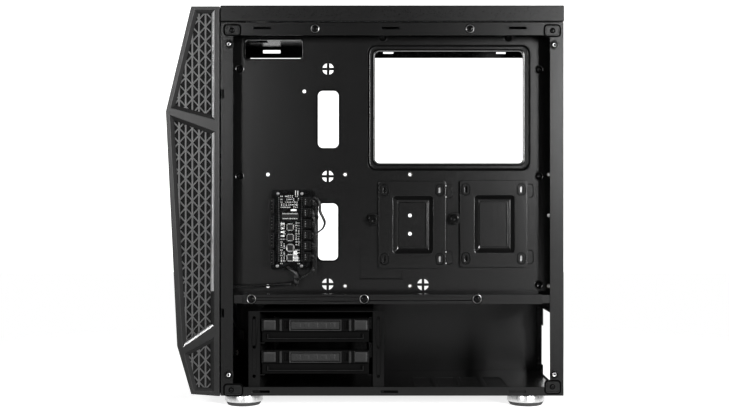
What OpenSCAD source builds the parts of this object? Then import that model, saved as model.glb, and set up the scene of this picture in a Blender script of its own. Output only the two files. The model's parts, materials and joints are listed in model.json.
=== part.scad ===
// Open ATX mid-tower case: steel chassis, slanted plastic bezel, cable-side fittings.
// Frame: +Z up from the floor under the feet, front at -Y, cable side at +X.

/* [Chassis] */
// Width over the two steel side flanges
chassis_w = 202; // [198:1:204]
// Rearmost face of the steel chassis
rear_y = 217.5; // [216:0.5:220]
// Front face of the steel chassis
front_y = -158; // [-158.5:0.5:-157.5]
// Height of the chassis underside above the floor
floor_z = 13; // [12:0.5:14]
// Top of the steel chassis
chassis_top = 422; // [421:0.5:423]
// Thickness of the steel sheet
sheet = 1; // [0.8:0.1:1.2]

/* [Covers] */
// Width of the bezel and the top cover
cover_w = 210; // [208:1:212]
// Top of the whole tower
tower_h = 440; // [439:0.5:442]
// Wall thickness of the plastic covers
wall = 2.5; // [2:0.25:3]

/* [Tray] */
// Cable-side face of the motherboard tray, measured from the centre plane
tray_x = 76.5; // [75:0.5:77]
// Height of the embossed frame round the processor cut-out
emboss = 2; // [1:0.5:3]

/* [Lattice] */
// Distance between the lattice's upright bars
lattice_pitch = 7.24; // [7:0.02:7.5]
// Distance between crossings along one upright bar
lattice_step = 15.86; // [15:0.02:17]
// Width of an upright lattice bar
lattice_bar = 1.7; // [1.2:0.1:2]
// Thickness of the lattice panels
lattice_t = 1.6; // [1.2:0.1:2]

/* [Fans] */
// Side of a fan frame
fan_size = 120; // [119:0.5:120.5]
// Depth of a fan frame
fan_depth = 25; // [24:0.5:25.5]
// Distance between fan screw holes
fan_holes = 105; // [104.5:0.5:105.5]
// Number of blades on each rotor
fan_blades = 7; // [5:1:9]

/* [Feet] */
// Diameter of a foot
foot_d = 42; // [38:1:44]
// Distance of a foot's centre from the centre plane
foot_x = 76; // [70:1:78]

/* [Hidden] */
$fn = 48;

steel = [0.035, 0.035, 0.037];
plastic = [0.03, 0.03, 0.032];
silver = [0.62, 0.63, 0.65];
rubber = [0.02, 0.02, 0.02];
board_black = [0.05, 0.05, 0.055];
eps = 0.01;

hw = chassis_w / 2;
cw = cover_w / 2;
front_in = front_y + sheet;
rear_in = rear_y - sheet;
floor_top = floor_z + sheet;
roof_low = chassis_top - sheet;
flange_front = -144.6;
flange_rear = 202.5;
flange_top = 407.8;
flange_low = 22.8;
rail_low = 113.4;
rail_high = 124.3;
rail_y = [-134, 194];
shroud_top = 113;
tray_in = tray_x - sheet;
tray_low = shroud_top - sheet;
screw_r = 3.4;
corner_t = 0.9;
corner_clip = 3;

// Slots in the top panel's side flanges: centre y and width, then centre z and height
near_slots = [[-112.8, 19.6], [28, 19.6], [167, 19.6]];
far_slots = [[-117.8, 22, 415.8, 4], [29.4, 13, 414.4, 2.2], [171.7, 12, 414.2, 2.2]];
rail_screw_y = [-124.5, -1, 122.8];
rail_screw_z = 118.9;
flange_screw_y = [-54.8, 115];
flange_screw_z = 415.1;
flange_screw_r = 3;

// Motherboard hole columns (y) and rows (z), on the ATX grid
atx_rear = 205.1;
atx_mid = atx_rear - 154.94;
atx_front = atx_mid - 72.39;
atx_low = 131.5;
atx_centre = atx_low + 124.46;
atx_high = atx_centre + 157.48;
standoff_h = 6.5;
standoff_hole = 1.75;
tray_hole = 2.7;

// Rear openings
io_x = [27.9, 72.35];
io_z = [256, 414.75];
slot_pitch = 20.32;
slot_z0 = 116.5;
slot_h = 14;
slot_x = [-38, 66];
rear_fan = [-37, 350];
psu_x = [-61, 86];
psu_z = [16, 96];
psu_screws = [138, 64];
psu_mid = [12.5, 51];
psu_vent_x = 6;

// Tray openings: low y, low z, high y, high z, corner radius
cpu_outer = [2.7, 260.4, 184.3, 400.3, 9];
cpu_open = [11.2, 268.5, 175.8, 393.5, 5];
top_cut = [-133.4, 385.1, -69.9, 405.8, 3];
slot_high = [-52.5, 285.6, -29.4, 349.3, 5.6];
slot_low = [-52.3, 160.4, -30.2, 223.7, 5.6];
tie_holes = [[-41.1, 373.7], [-41.5, 254], [-41.6, 133.7], [64.7, 133.2]];
tie_r = 6.4;
tie_bar = 2.9;
tray_seams = [-64, -12];
tray_pinholes = [[-108.3, 256], [-108.3, 131.5], [atx_mid, 210.3], [atx_mid, 189.9],
    [atx_rear, 210.3], [-67.7, 348.7]];
// Faint raised line: height, its two ends in y, low z, width, upper ends in z
relief = [0.7, [-5.7, 40.8], 140.3, 1.4, 175, 149];
tray_dimples = [[-139.9, 373.7], [-139.9, 254.1], [19.8, 408.5], [159.8, 408.5],
    [194.2, 372.9], [194, 254], [193.6, 133.1]];

// Drive brackets: centre y and z
ssd_front = [52.5, 200.2];
ssd_rear = [143.1, 201];
ssd_size = [74.7, 96.6];
ssd_holes = [61.72, 76.6];
ssd_back = tray_x + 3.5;
ssd_tab = 44;
ssd_hook = 37;
ssd_boss = [10.4, 14.4, 1.4];
hook_slot = 7.2;
hook_rim = 0.8;
hook_outline = [-2, -6.8, 6.6, 6.8, 2.6];
slot_rim = 1.2;

// Drive cage and trays
cage_y = [-115.5, 8.5];
cage_x = [-52, 98];
cage_z = [floor_top, 105.5];
hdd_y = [-113.5, 4.5];
hdd_front_x = 96;
hdd_upper_z = 83;
hdd_lower_z = 48;
hdd_face = 14.2;
hdd_blocks = [[-113.5, -97], [-94.3, -91], [-17, -14], [-11, 4.5]];
hdd_holes = [44.45, 95.25];
hdd_hole_x = 30;

// Hub board: low y, low z, high y, high z
hub = [-103.8, 150.4, -58.8, 238.4];
hub_x = tray_x + 7;
hub_t = 1.6;
hub_face = hub_x + hub_t;
hub_plug_rows = [for (i = [0:5]) 164.5 + i * 12.2];
hub_screws_at = [[-96.6, 234.6], [-69.9, 234.6], [-97.2, 154.4], [-70.4, 154.4]];
hub_chip_z = [163.5, 174.5, 186, 197.5];
hub_chip = 6.8;

// Lead routes
lead_front_r = 1.9;
lead_front_path = [[87.2, -86, 154], [87.4, -81, 150], [87, -76.5, 146], [86, -74, 141],
    [85.3, -76, 136.8], [84.5, -84, 134.6], [84, -98, 133.2], [84, -112, 132.4], [85, -126, 132],
    [87, -138, 131.6], [88, -148, 131.4], [88, -156, 131.4]];
lead_loop_r = 1.3;
lead_loop_path = [[93, -62, 228], [95, -56, 230], [96, -51, 227], [96, -49.4, 221], [96, -49.2, 214.5],
    [95.4, -46.4, 208.5], [94.6, -44.3, 202.3], [93.6, -46.4, 196.4], [92.6, -51, 192.5],
    [92, -55, 190]];
lead_bundle_r = 2.2;
lead_bundle_path = [[93, -59.5, 216], [93.4, -56.4, 208], [93, -55, 198], [92.4, -54.8, 187],
    [91.8, -54.8, 176], [91.2, -55, 166], [90.4, -56, 156.5], [89.4, -59, 149.5], [88.4, -64, 145],
    [87.4, -70, 141.5], [86.2, -76, 137.6], [85.2, -81, 135.4]];

// Bezel windows as seen from the side: y, z
bezel_back = -158.9;
window_upper = [[-185.7, 434.9], [-164, 434.9], [-164.2, 315.5], [-211.9, 328.1]];
window_middle = [[-212.8, 319.9], [-164.2, 301.9], [-165.2, 90.1], [-198.7, 66.7]];
window_lower = [[-197.1, 59.7], [-165.4, 77], [-165.2, 18.4], [-186.8, 19.2]];
lattice_y0 = -203.4;
lattice_z0 = 425;
lattice_x = cw - 3.6;
trim_w = 3.7;
front_half = 71.6;

fan_z = [94, 218, 342];
fan_y = front_y - fan_depth - 0.3;
rotor_r = 55.5;
rotor_hub = 20;
foot_y = [-135.1, 179.3];
pad_h = 4;
port_y = -140;
filter_x = 66;
filter_y = [-60, 190];

// ---------- helpers ----------

// Outline drawn in (y, z), extruded along +X
module plate_x(x0, t) { translate([x0, 0, 0]) rotate([90, 0, 90]) linear_extrude(t) children(); }

// Outline drawn in (x, z), extruded along +Y
module plate_y(y0, t) { translate([0, y0 + t, 0]) rotate([90, 0, 0]) linear_extrude(t) children(); }

// Outline drawn in (x, y), extruded along +Z
module plate_z(z0, t) { translate([0, 0, z0]) linear_extrude(t) children(); }

module rect(a, b, c, d) { translate([a, b]) square([c - a, d - b]); }

// Rounded rectangle from [low u, low v, high u, high v, radius]
module rrect(b, grow = 0) {
    r = b[4] + grow;
    rect(b[0] - grow + r, b[1] - grow, b[2] + grow - r, b[3] + grow);
    rect(b[0] - grow, b[1] - grow + r, b[2] + grow, b[3] + grow - r);
    for (u = [b[0] - grow + r, b[2] + grow - r], v = [b[1] - grow + r, b[3] + grow - r])
        translate([u, v]) circle(r);
}

// Slot with round ends, centred
module obround(length, width) {
    square([length - width, width], center = true);
    for (s = [-1, 1]) translate([s * (length - width) / 2, 0]) circle(width / 2);
}

// Hexagonal holes filling a disc
module hex_disc(radius, pitch, hole_r) {
    rows = ceil(radius / (pitch * 0.866));
    cols = ceil(radius / pitch);
    for (j = [-rows:rows], i = [-cols:cols]) {
        u = (i + (abs(j) % 2) / 2) * pitch;
        v = j * pitch * 0.866;
        if (norm([u, v]) < radius - hole_r) translate([u, v]) rotate(30) circle(hole_r, $fn = 6);
    }
}

// Pan-head screw whose head stands on plane x, pointing +X
module screw_x(x, y, z, r = screw_r, h = 1.8) {
    translate([x, y, z]) rotate([0, 90, 0]) difference() {
        union() {
            cylinder(h * 0.5, r, r);
            translate([0, 0, h * 0.5 - eps]) cylinder(h * 0.5, r, r * 0.72);
        }
        translate([-0.45, -r * 0.55, h * 0.5]) cube([0.9, r * 1.1, h]);
        translate([-r * 0.55, -0.45, h * 0.5]) cube([r * 1.1, 0.9, h]);
    }
}

// Catmull-Rom point at t between b and c
function blend_point(a, b, c, d, t) =
    0.5 * (2 * b + (c - a) * t + (2 * a - 5 * b + 4 * c - d) * t * t
        + (3 * b - a - 3 * c + d) * t * t * t);
function route(p, n) = let (m = len(p)) concat(
    [for (i = [0:m - 2], k = [0:n - 1])
        blend_point(p[max(i - 1, 0)], p[i], p[i + 1], p[min(i + 2, m - 1)], k / n)],
    [p[m - 1]]);
function unit(v) = v / norm(v);

// Round tube of radius r along the points p
module tube(p, r, sides = 8) {
    m = len(p);
    rings = [for (i = [0:m - 1])
        let (
            t = unit(p[min(i + 1, m - 1)] - p[max(i - 1, 0)]),
            u = unit(cross(t, [1, 0.02, 0.03])),
            w = cross(t, u)
        )
        [for (k = [0:sides - 1]) p[i] + r * (cos(360 * k / sides) * u + sin(360 * k / sides) * w)]];
    points = [for (ring = rings, q = ring) q];
    walls = [for (i = [0:m - 2], k = [0:sides - 1])
        [i * sides + k, i * sides + (k + 1) % sides,
            (i + 1) * sides + (k + 1) % sides, (i + 1) * sides + k]];
    start = [for (k = [sides - 1:-1:0]) k];
    finish = [for (k = [0:sides - 1]) (m - 1) * sides + k];
    polyhedron(points, concat([start], walls, [finish]), convexity = 6);
}

// ---------- steel chassis ----------

// Long side flange with its slots, at either side
module side_flange(side, a, b, c, d) {
    plate_x(side > 0 ? hw - sheet : -hw, sheet) rect(a, b, c, d);
}

module rear_panel() color(steel) {
    difference() {
        union() {
            plate_y(rear_in, sheet) rect(-hw, floor_z, hw, chassis_top);
            for (s = [-1, 1]) side_flange(s, flange_rear, floor_z, rear_in + eps, chassis_top);
        }
        plate_y(rear_in - 1, 4) {
            rect(io_x[0], io_z[0], io_x[1], io_z[1]);
            for (i = [0:6]) {
                z = slot_z0 + i * slot_pitch;
                rect(slot_x[0], z, slot_x[1], z + slot_h);
            }
            translate(rear_fan) hex_disc(57, 8, 3.5);
            for (u = [-1, 1], v = [-1, 1])
                translate([rear_fan[0] + u * fan_holes / 2, rear_fan[1] + v * fan_holes / 2])
                    circle(2.2);
            rect(psu_x[0], 27, psu_x[1], 75);
            rect(psu_x[0] + 12, psu_z[0], psu_x[1] - 12, psu_z[1]);
            for (u = [-1, 1], v = [-1, 1])
                translate([psu_mid[0] + u * psu_screws[0] / 2, psu_mid[1] + v * psu_screws[1] / 2])
                    circle(2);
        }
    }
}

module front_panel() color(steel) {
    difference() {
        union() {
            plate_y(front_y, sheet) rect(-hw, floor_z, hw, chassis_top);
            for (s = [-1, 1]) side_flange(s, front_in - eps, floor_z, flange_front, chassis_top);
        }
        plate_y(front_y - 1, 4) {
            for (z = fan_z) translate([0, z]) {
                circle(57, $fn = 72);
                for (u = [-1, 1], v = [-1, 1])
                    translate([u * fan_holes / 2, v * fan_holes / 2]) circle(2.2);
            }
            for (s = [-1, 1], z = [60, 240, 395]) translate([s * 90, z]) square([9, 13], center = true);
            translate([88, 131.4]) circle(6);
            for (x = [-80, 0, 80]) translate([x, 412]) obround(20, 6);
        }
        for (s = [-1, 1], z = [103.5, 343.5])
            translate([s * hw, front_in, z]) cube([4, 5, 10], center = true);
    }
}

module top_panel() color(steel) {
    difference() {
        union() {
            plate_z(roof_low, sheet) rect(-hw + sheet, front_in, hw - sheet, rear_in);
            for (s = [-1, 1]) side_flange(s, flange_front, flange_top, flange_rear, chassis_top);
        }
        plate_z(roof_low - 1, 4) {
            for (i = [-4:4], j = [0:3]) translate([i * 13, -20 + j * 58]) rotate(90) obround(50, 8);
            translate([0, port_y + 8]) square([110, 26], center = true);
        }
        for (slot = near_slots) translate([hw, slot[0], 415.9]) cube([4, slot[1], 2.6], center = true);
        for (slot = far_slots) translate([-hw, slot[0], slot[2]]) cube([4, slot[1], slot[3]], center = true);
    }
}

module floor_panel() color(steel) {
    difference() {
        union() {
            plate_z(floor_z, sheet) rect(-hw + sheet, front_in, hw - sheet, rear_in);
            for (s = [-1, 1]) side_flange(s, flange_front, floor_z, flange_rear, flange_low);
        }
        plate_z(floor_z - 1, 4) {
            for (i = [-4:4], j = [0:3]) translate([psu_vent_x + i * 10, 68 + j * 28])
                rotate(90) obround(24, 5);
            for (x = [-1, 1], y = foot_y) translate([x * foot_x, y]) circle(2.2);
        }
        for (s = [-1, 1], y = [-114, 26.6, 166.5]) translate([s * hw, y, 17.6])
            cube([4, 19, 2.6], center = true);
    }
}

// Raised frame round an opening in the tray
module raised_frame(b, h, w) {
    plate_x(tray_x, h) difference() {
        rrect(b, w);
        rrect(b);
    }
}

// Openings and holes through the tray
module tray_openings() {
    plate_x(tray_in - 1, 3) {
        for (b = [cpu_open, slot_high, slot_low, top_cut]) rrect(b);
        for (p = tie_holes) translate(p) difference() {
            circle(tie_r);
            square([20, tie_bar], center = true);
            square([tie_bar, 20], center = true);
        }
        for (y = [atx_rear, atx_mid, atx_front], z = [atx_low, atx_centre, atx_high])
            translate([y, z]) circle(tray_hole);
        for (p = tray_pinholes) translate(p) circle(2);
        for (c = [ssd_front, ssd_rear]) {
            translate([c[0] - ssd_tab, c[1] + 5.8]) circle(2);
            for (v = [ssd_hook, -ssd_hook]) translate([c[0] + ssd_size[0] / 2, c[1] + v]) {
                rect(-8, -hook_slot, -0.2, hook_slot);
                for (u = [-1, 1]) translate([0.2, u * (hook_slot - 0.8)]) circle(0.8);
            }
        }
    }
}

module tray_dimple(p) {
    translate([tray_x, p[0], p[1]]) rotate([0, 90, 0]) difference() {
        cylinder(0.9, 5.2, 4.4);
        translate([0, 0, 0.3]) cylinder(2, 1.7, 1.7);
    }
}

// One sheet of the tray, between two y
module tray_sheet(y0, y1) {
    difference() {
        plate_x(tray_in, sheet) rect(y0, tray_low, y1, roof_low);
        tray_openings();
    }
}

// Front sheet, with the processor cable's cut-out
module tray_front() color(steel) tray_sheet(front_in, tray_seams[0]);

// Strip with the two cable slots
module tray_slots() color(steel) tray_sheet(tray_seams[0], tray_seams[1]);

// Rear sheet, with the processor cut-out and the drive brackets' seats
module motherboard_tray() color(steel) tray_sheet(tray_seams[1], rear_in);

// Pressed frames, dimples and lines that stand on the tray's sheet
module tray_embossing() color(steel) {
    difference() {
        union() {
            plate_x(tray_x, emboss) difference() {
                rrect(cpu_outer);
                rrect(cpu_open, 1.6);
            }
            raised_frame(cpu_open, emboss + 1.4, 2.8);
            for (b = [slot_high, slot_low, top_cut]) raised_frame(b, slot_rim, 1.4);
            for (c = [ssd_front, ssd_rear], v = [ssd_hook, -ssd_hook])
                translate([0, c[0] + ssd_size[0] / 2, c[1] + v]) raised_frame(hook_outline, hook_rim, 1.1);
        }
        tray_openings();
    }
    for (p = tray_dimples) tray_dimple(p);
    plate_x(tray_x, relief[0]) {
        rect(relief[1][0], relief[2], relief[1][0] + relief[3], relief[4]);
        rect(relief[1][1], relief[2], relief[1][1] + relief[3], relief[5]);
        rect(relief[1][0], relief[2] - relief[3], relief[1][1] + relief[3], relief[2]);
    }
}

module tray_rail() color(steel) {
    difference() {
        union() {
            plate_x(hw - sheet, sheet) rect(rail_y[0], rail_low, rail_y[1], rail_high);
            for (z = [rail_low, rail_high - sheet]) plate_z(z, sheet)
                rect(tray_x, rail_y[0], hw - sheet + eps, rail_y[1]);
            for (y = [rail_y[0] - 9, rail_y[1]]) plate_x(hw - 2 * sheet, sheet)
                rect(y - 0.5, rail_low + 1, y + 9.5, rail_high - 1);
        }
        for (y = rail_screw_y) translate([hw - 3, y, rail_screw_z]) rotate([0, 90, 0])
            cylinder(6, 1.6, 1.6);
    }
}

module psu_shroud() color(steel) {
    difference() {
        plate_z(tray_low, sheet) rect(-hw + 2 * sheet, front_in, tray_in, rear_in);
        plate_z(tray_low - 1, 4) {
            for (y = [-20, 70]) translate([50, y]) square([30, 60], center = true);
            for (i = [0:7]) translate([-40, 60 + i * 14]) obround(90, 5);
        }
    }
    plate_x(-hw + sheet, sheet) rect(front_in, floor_top, rear_in, shroud_top);
}

// Corner plate from [low y, low z, high y, high z] with a clipped corner
module corner_plate(b, flip_y, flip_z) {
    u = (b[2] - b[0]) / 2;
    v = (b[3] - b[1]) / 2;
    plate_x(hw, corner_t) translate([(b[0] + b[2]) / 2, (b[1] + b[3]) / 2]) scale([flip_y, flip_z])
        polygon([[-u, -v], [u, -v], [u, v - corner_clip], [u - corner_clip, v], [-u, v]]);
}

module corner_brackets() color(steel) {
    corner_plate([-153.9, 407.9, -136.5, 419], 1, 1);
    corner_plate([196.6, 406.8, 213.5, 418.8], -1, 1);
    corner_plate([197.4, 15.7, 213.6, 29.4], -1, -1);
    corner_plate([-154.2, 13.5, -134.4, 25.5], 1, -1);
}

module rivets() color(silver)
    for (p = [[-149.2, 398.1], [207.4, 397.2], [207.4, 36.5], [-149.3, 36]])
        translate([hw, p[0], p[1]]) rotate([0, 90, 0]) difference() {
            union() {
                cylinder(0.5, 5.2, 5);
                cylinder(1.4, 2.8, 2.5);
            }
            translate([0, 0, 0.4]) cylinder(3, 1.1, 1.1);
        }

// Pan-head screw of radius r in a pressed ring
module ringed_screw(y, z, r) {
    screw_x(hw, y, z, r, 1.9);
    translate([hw, y, z]) rotate([0, 90, 0]) difference() {
        cylinder(0.6, r + 1.6, r + 1.4);
        translate([0, 0, -1]) cylinder(3, r + 0.6, r + 0.6);
    }
}

module side_screws() color(steel) {
    for (y = rail_screw_y) ringed_screw(y, rail_screw_z, screw_r);
    for (y = flange_screw_y) ringed_screw(y, flange_screw_z, flange_screw_r);
    for (p = [[-145.6, 413.2], [205.3, 412.8], [205.1, 23], [-146.4, 19.5]])
        screw_x(hw + corner_t, p[0], p[1], flange_screw_r, 1.6);
}

module standoffs() color([0.7, 0.55, 0.25])
    for (y = [atx_rear, atx_mid, atx_front], z = [atx_low, atx_centre, atx_high])
        translate([tray_in, y, z]) rotate([0, -90, 0]) difference() {
            union() {
                cylinder(standoff_h, 3, 3, $fn = 6);
                translate([0, 0, -sheet - 0.6]) cylinder(sheet + 1, 2.6, 2.6);
            }
            translate([0, 0, -sheet - 1]) cylinder(standoff_h + 4, standoff_hole, standoff_hole);
        }

module slot_covers() color(steel)
    for (i = [0:6]) {
        z = slot_z0 - 2.2 + i * slot_pitch;
        difference() {
            plate_y(rear_in - sheet, sheet - 0.05) rect(slot_x[0] - 6, z, 77.5 - 3, z + 18.4);
            plate_y(rear_in - 4, 8) for (k = [0:10])
                translate([slot_x[0] + 8 + k * 9, z + 9.2]) rotate(90) obround(10, 3);
        }
    }

module slot_cover_screws() color(steel)
    for (i = [0:6]) translate([71, rear_in - sheet, slot_z0 + 7 + i * slot_pitch]) rotate([90, 0, 0])
        difference() {
            cylinder(2.2, 3.2, 2.6);
            translate([-0.4, -2, 1.2]) cube([0.8, 4, 2]);
            translate([-2, -0.4, 1.2]) cube([4, 0.8, 2]);
        }

// ---------- drives ----------

module cage_post(y0, y1) {
    difference() {
        plate_x(cage_x[1] - sheet, sheet) rect(y0, cage_z[0], y1, cage_z[1]);
        for (z = [34, 66, 98]) translate([cage_x[1], (y0 + y1) / 2, z]) rotate([0, 90, 0])
            cylinder(6, 1.8, 1.8, center = true);
    }
}

module drive_cage() color(steel) {
    difference() {
        for (y = [cage_y[0] - sheet, cage_y[1]]) plate_y(y, sheet)
            rect(cage_x[0], cage_z[0], cage_x[1], cage_z[1]);
        plate_y(cage_y[0] - 5, 140) for (z = [32, 68]) for (x = [-25, 20, 65])
            translate([x, z]) obround(30, 8);
    }
    cage_post(-128, cage_y[0] - eps);
    cage_post(cage_y[1], 20.8);
    plate_z(cage_z[1] - sheet, sheet) rect(cage_x[0], cage_y[0] - sheet, cage_x[1], cage_y[1] + sheet);
    plate_x(cage_x[0] - sheet, sheet)
        rect(cage_y[0] - sheet, cage_z[1] - 20, cage_y[1] + sheet, cage_z[1]);
    for (z = [hdd_lower_z - 13.5, hdd_upper_z - 13.5]) {
        plate_z(z, sheet) rect(cage_x[0], cage_y[0] - eps, cage_x[1] - 4, cage_y[0] + 5);
        plate_z(z, sheet) rect(cage_x[0], cage_y[1] - 5, cage_x[1] - 4, cage_y[1] + eps);
    }
}

// Pull-out 3.5 inch tray whose face starts at height z
module hdd_tray(z) color(plastic) {
    y0 = hdd_y[0];
    y1 = hdd_y[1];
    mid = (y0 + y1) / 2;
    low = z - 12;
    difference() {
        union() {
            plate_z(low, 2) rect(cage_x[0] + 3, y0, hdd_front_x - 6, y1);
            for (y = [y0, y1 - 2.4]) plate_y(y, 2.4) rect(cage_x[0] + 3, low, hdd_front_x - 6, low + 20);
            plate_x(hdd_front_x - 8, 8) rect(y0, z, y1, z + hdd_face);
            plate_x(hdd_front_x - 8, 4) rect(y0, low, y1, z + eps);
            plate_x(hdd_front_x - eps, 1.8) rect(mid - 29, z + 1.4, mid + 29, z + hdd_face - 1.4);
            plate_x(hdd_front_x - eps, 1.2) for (b = hdd_blocks)
                rect(b[0], z + 0.6, b[1], z + hdd_face - 0.8);
            plate_x(hdd_front_x - 4 - eps, 3) difference() {
                rect(y0 + 6, z - 8.6, y1 - 6, z - 2.6);
                rect(y0 + 8, z - 6.8, y1 - 8, z - 2);
            }
        }
        plate_z(low - 1, 4) {
            for (x = [-20, 15, 50]) translate([x, mid]) square([24, 70], center = true);
            for (x = [-1, 1], y = [-1, 1])
                translate([hdd_hole_x + x * hdd_holes[0] / 2, mid + y * hdd_holes[1] / 2]) circle(1.8);
        }
        for (y = [-87.2, -21.2]) translate([hdd_front_x, y, z + hdd_face / 2])
            cube([6, 4.4, 9], center = true);
        plate_y(y0 - 1, 140) for (x = [-25, 25, 70]) translate([x, low + 13]) obround(26, 5);
    }
}
module hdd_tray_upper() hdd_tray(hdd_upper_z);
module hdd_tray_lower() hdd_tray(hdd_lower_z);

// 2.5 inch bracket about its centre [y, z]
module ssd_bracket(c) color(steel) {
    w = ssd_size[0] / 2;
    h = ssd_size[1] / 2;
    outer = [c[0] - 22.2, c[1] - 31.8, c[0] + 22.2, c[1] + 31.8, 1.5];
    inner = [c[0] - 17.5, c[1] - 25, c[0] + 17.5, c[1] + 25, 1.5];
    difference() {
        union() {
            plate_x(ssd_back, sheet) difference() {
                rrect([c[0] - w, c[1] - h, c[0] + w, c[1] + h, 2.5]);
                rrect(outer, -1);
            }
            plate_x(ssd_back - 2, 2 + eps) difference() {
                rrect(outer);
                rrect(outer, -1);
            }
            plate_x(ssd_back - 2 - sheet, sheet + eps) difference() {
                rrect(outer);
                rrect(inner);
            }
            for (u = [-1, 1], v = [-1, 1])
                plate_x(ssd_back + sheet - eps, ssd_boss[2])
                    translate([c[0] + u * ssd_holes[0] / 2, c[1] + v * ssd_holes[1] / 2]) rotate(90)
                        obround(ssd_boss[1], ssd_boss[0]);
            plate_x(ssd_back, sheet) rrect([c[0] - ssd_tab - 6, c[1] - 1, c[0] - w + 1, c[1] + 12.6, 2]);
            for (v = [ssd_hook, -ssd_hook]) {
                plate_x(tray_in - 1, ssd_back - tray_in + 2) rect(c[0] + w - 3, c[1] + v - 6,
                    c[0] + w - 3 + sheet, c[1] + v + 6);
            }
        }
        for (u = [-1, 1], v = [-1, 1])
            translate([ssd_back - 6, c[0] + u * ssd_holes[0] / 2, c[1] + v * ssd_holes[1] / 2])
                rotate([0, 90, 0]) cylinder(12, 1.7, 1.7);
        translate([ssd_back - 6, c[0] - ssd_tab, c[1] + 5.8]) rotate([0, 90, 0]) cylinder(12, 2.2, 2.2);
    }
}
module ssd_bracket_front() ssd_bracket(ssd_front);
module ssd_bracket_rear() ssd_bracket(ssd_rear);

module thumbscrew(c) color(plastic)
    translate([ssd_back + sheet + 0.3, c[0] - ssd_tab, c[1] + 5.8]) rotate([0, 90, 0]) {
        difference() {
            union() {
                cylinder(4.5, 4.6, 4.6);
                for (a = [0:30:330]) rotate(a) translate([4.6, 0, 0.4]) cylinder(3.7, 0.7, 0.7, $fn = 16);
            }
            translate([-2.6, -0.5, 3.3]) cube([5.2, 1, 2]);
            translate([-0.5, -2.6, 3.3]) cube([1, 5.2, 2]);
        }
        translate([0, 0, -7]) cylinder(7.1, 1.6, 1.6);
    }
module ssd_thumbscrew_front() thumbscrew(ssd_front);
module ssd_thumbscrew_rear() thumbscrew(ssd_rear);

// ---------- hub ----------

module hub_base() color(plastic) {
    plate_x(tray_x, 2.4) rrect([hub[0] + 1, hub[1] + 1, hub[2] - 1, hub[3] - 1, 3]);
    for (p = hub_screws_at)
        translate([tray_x, p[0], p[1]]) rotate([0, 90, 0]) cylinder(hub_x - tray_x, 2.6, 2.6);
}

module hub_board() color(board_black) plate_x(hub_x, hub_t)
    difference() {
        rrect([hub[0], hub[1], hub[2], hub[3], 1.5]);
        for (p = hub_screws_at) translate(p) circle(1.6);
    }

module hub_screws() color(silver)
    for (p = hub_screws_at) screw_x(hub_face, p[0], p[1], 2.3, 1.4);

module hub_chips() color([0.08, 0.08, 0.085]) {
    for (z = hub_chip_z) plate_x(hub_face, 1.3) translate([-82.9, z]) square(hub_chip, center = true);
    plate_x(hub_face, 1.6) rect(-92.3, 206.6, -73.5, 212.6);
    plate_x(hub_face, 1.8) rect(-82.3, 215.2, -75.7, 217.3);
}

module hub_headers() color([0.12, 0.12, 0.12]) {
    for (i = [0:3]) plate_x(hub_face, 6) rect(-105.4, 156 + i * 19, -100.8, 172 + i * 19);
    for (z = hub_plug_rows) plate_x(hub_face, 5) rect(-68.2, z - 5, -59.6, z + 5);
}

module hub_plugs() color([0.04, 0.04, 0.04])
    for (z = hub_plug_rows) plate_x(hub_face + 5.05, 5.5) rect(-67.6, z - 4.2, -60.2, z + 4.2);

module lead_front() color(rubber) tube(route(lead_front_path, 3), lead_front_r);
module lead_loop() color(rubber) tube(route(lead_loop_path, 4), lead_loop_r);
module lead_bundle() color(rubber) tube(route(lead_bundle_path, 3), lead_bundle_r);

module cable_tie() color(plastic) {
    plate_y(-77.8, 2.6) translate([86, 137]) difference() {
        circle(4.8);
        circle(3.9);
    }
    plate_y(-78.3, 3.6) translate([86, 143]) square([4, 3.4], center = true);
    plate_x(tray_x, 4.8) rect(-79, 134.5, -74, 139.5);
}

// ---------- top ----------

module top_cover() color(plastic) {
    difference() {
        plate_z(chassis_top + 0.5, tower_h - chassis_top - 0.5) rect(-cw, front_y, cw, rear_y);
        plate_z(chassis_top - 1, tower_h - chassis_top + 1 - wall)
            rect(-cw + wall, front_y + wall, cw - wall, rear_y - wall);
        plate_z(tower_h - wall - 1, 5) rect(-filter_x + 6, filter_y[0] + 6, filter_x - 6, filter_y[1] - 6);
        plate_z(tower_h - 1.4, 5)
            rect(-filter_x - 0.5, filter_y[0] - 0.5, filter_x + 0.5, filter_y[1] + 0.5);
        translate([-62, port_y, tower_h - 6]) cylinder(12, 8.4, 8.4);
        translate([-40, port_y, tower_h - 6]) cylinder(12, 3.4, 3.4);
        for (x = [0, 22]) translate([x, port_y, tower_h]) cube([13.4, 6.2, 12], center = true);
        for (x = [44, 60]) translate([x, port_y, tower_h - 6]) cylinder(12, 3.4, 3.4);
        translate([-22, port_y, tower_h - 6]) cylinder(12, 1.6, 1.6);
    }
}

module top_filter() color([0.05, 0.05, 0.05])
    difference() {
        plate_z(tower_h - 1.35, 1.3) rect(-filter_x, filter_y[0], filter_x, filter_y[1]);
        plate_z(tower_h - 3, 5) for (i = [0:9], j = [0:4])
            translate([-50.4 + j * 25.2, filter_y[0] + 17.5 + i * 24]) square([21, 20], center = true);
    }

module power_button() color(silver) {
    translate([-62, port_y, tower_h - 6]) cylinder(5.8, 8, 8);
    translate([-62, port_y, tower_h - 6.5]) cylinder(1.5, 10, 10);
}

module reset_button() color(plastic) {
    translate([-40, port_y, tower_h - 6]) cylinder(5.6, 3, 3);
    translate([-40, port_y, tower_h - 6.5]) cylinder(1.5, 5, 5);
}

module port_board() color([0.05, 0.12, 0.07])
    plate_z(chassis_top + 2, 1.6) translate([0, port_y]) square([150, 18], center = true);

module usb_ports() color(silver)
    for (x = [0, 22]) difference() {
        translate([x, port_y, tower_h - 7.4]) cube([13, 5.8, 13.8], center = true);
        translate([x, port_y, tower_h - 3.5]) cube([12.1, 4.7, 12], center = true);
    }

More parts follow.
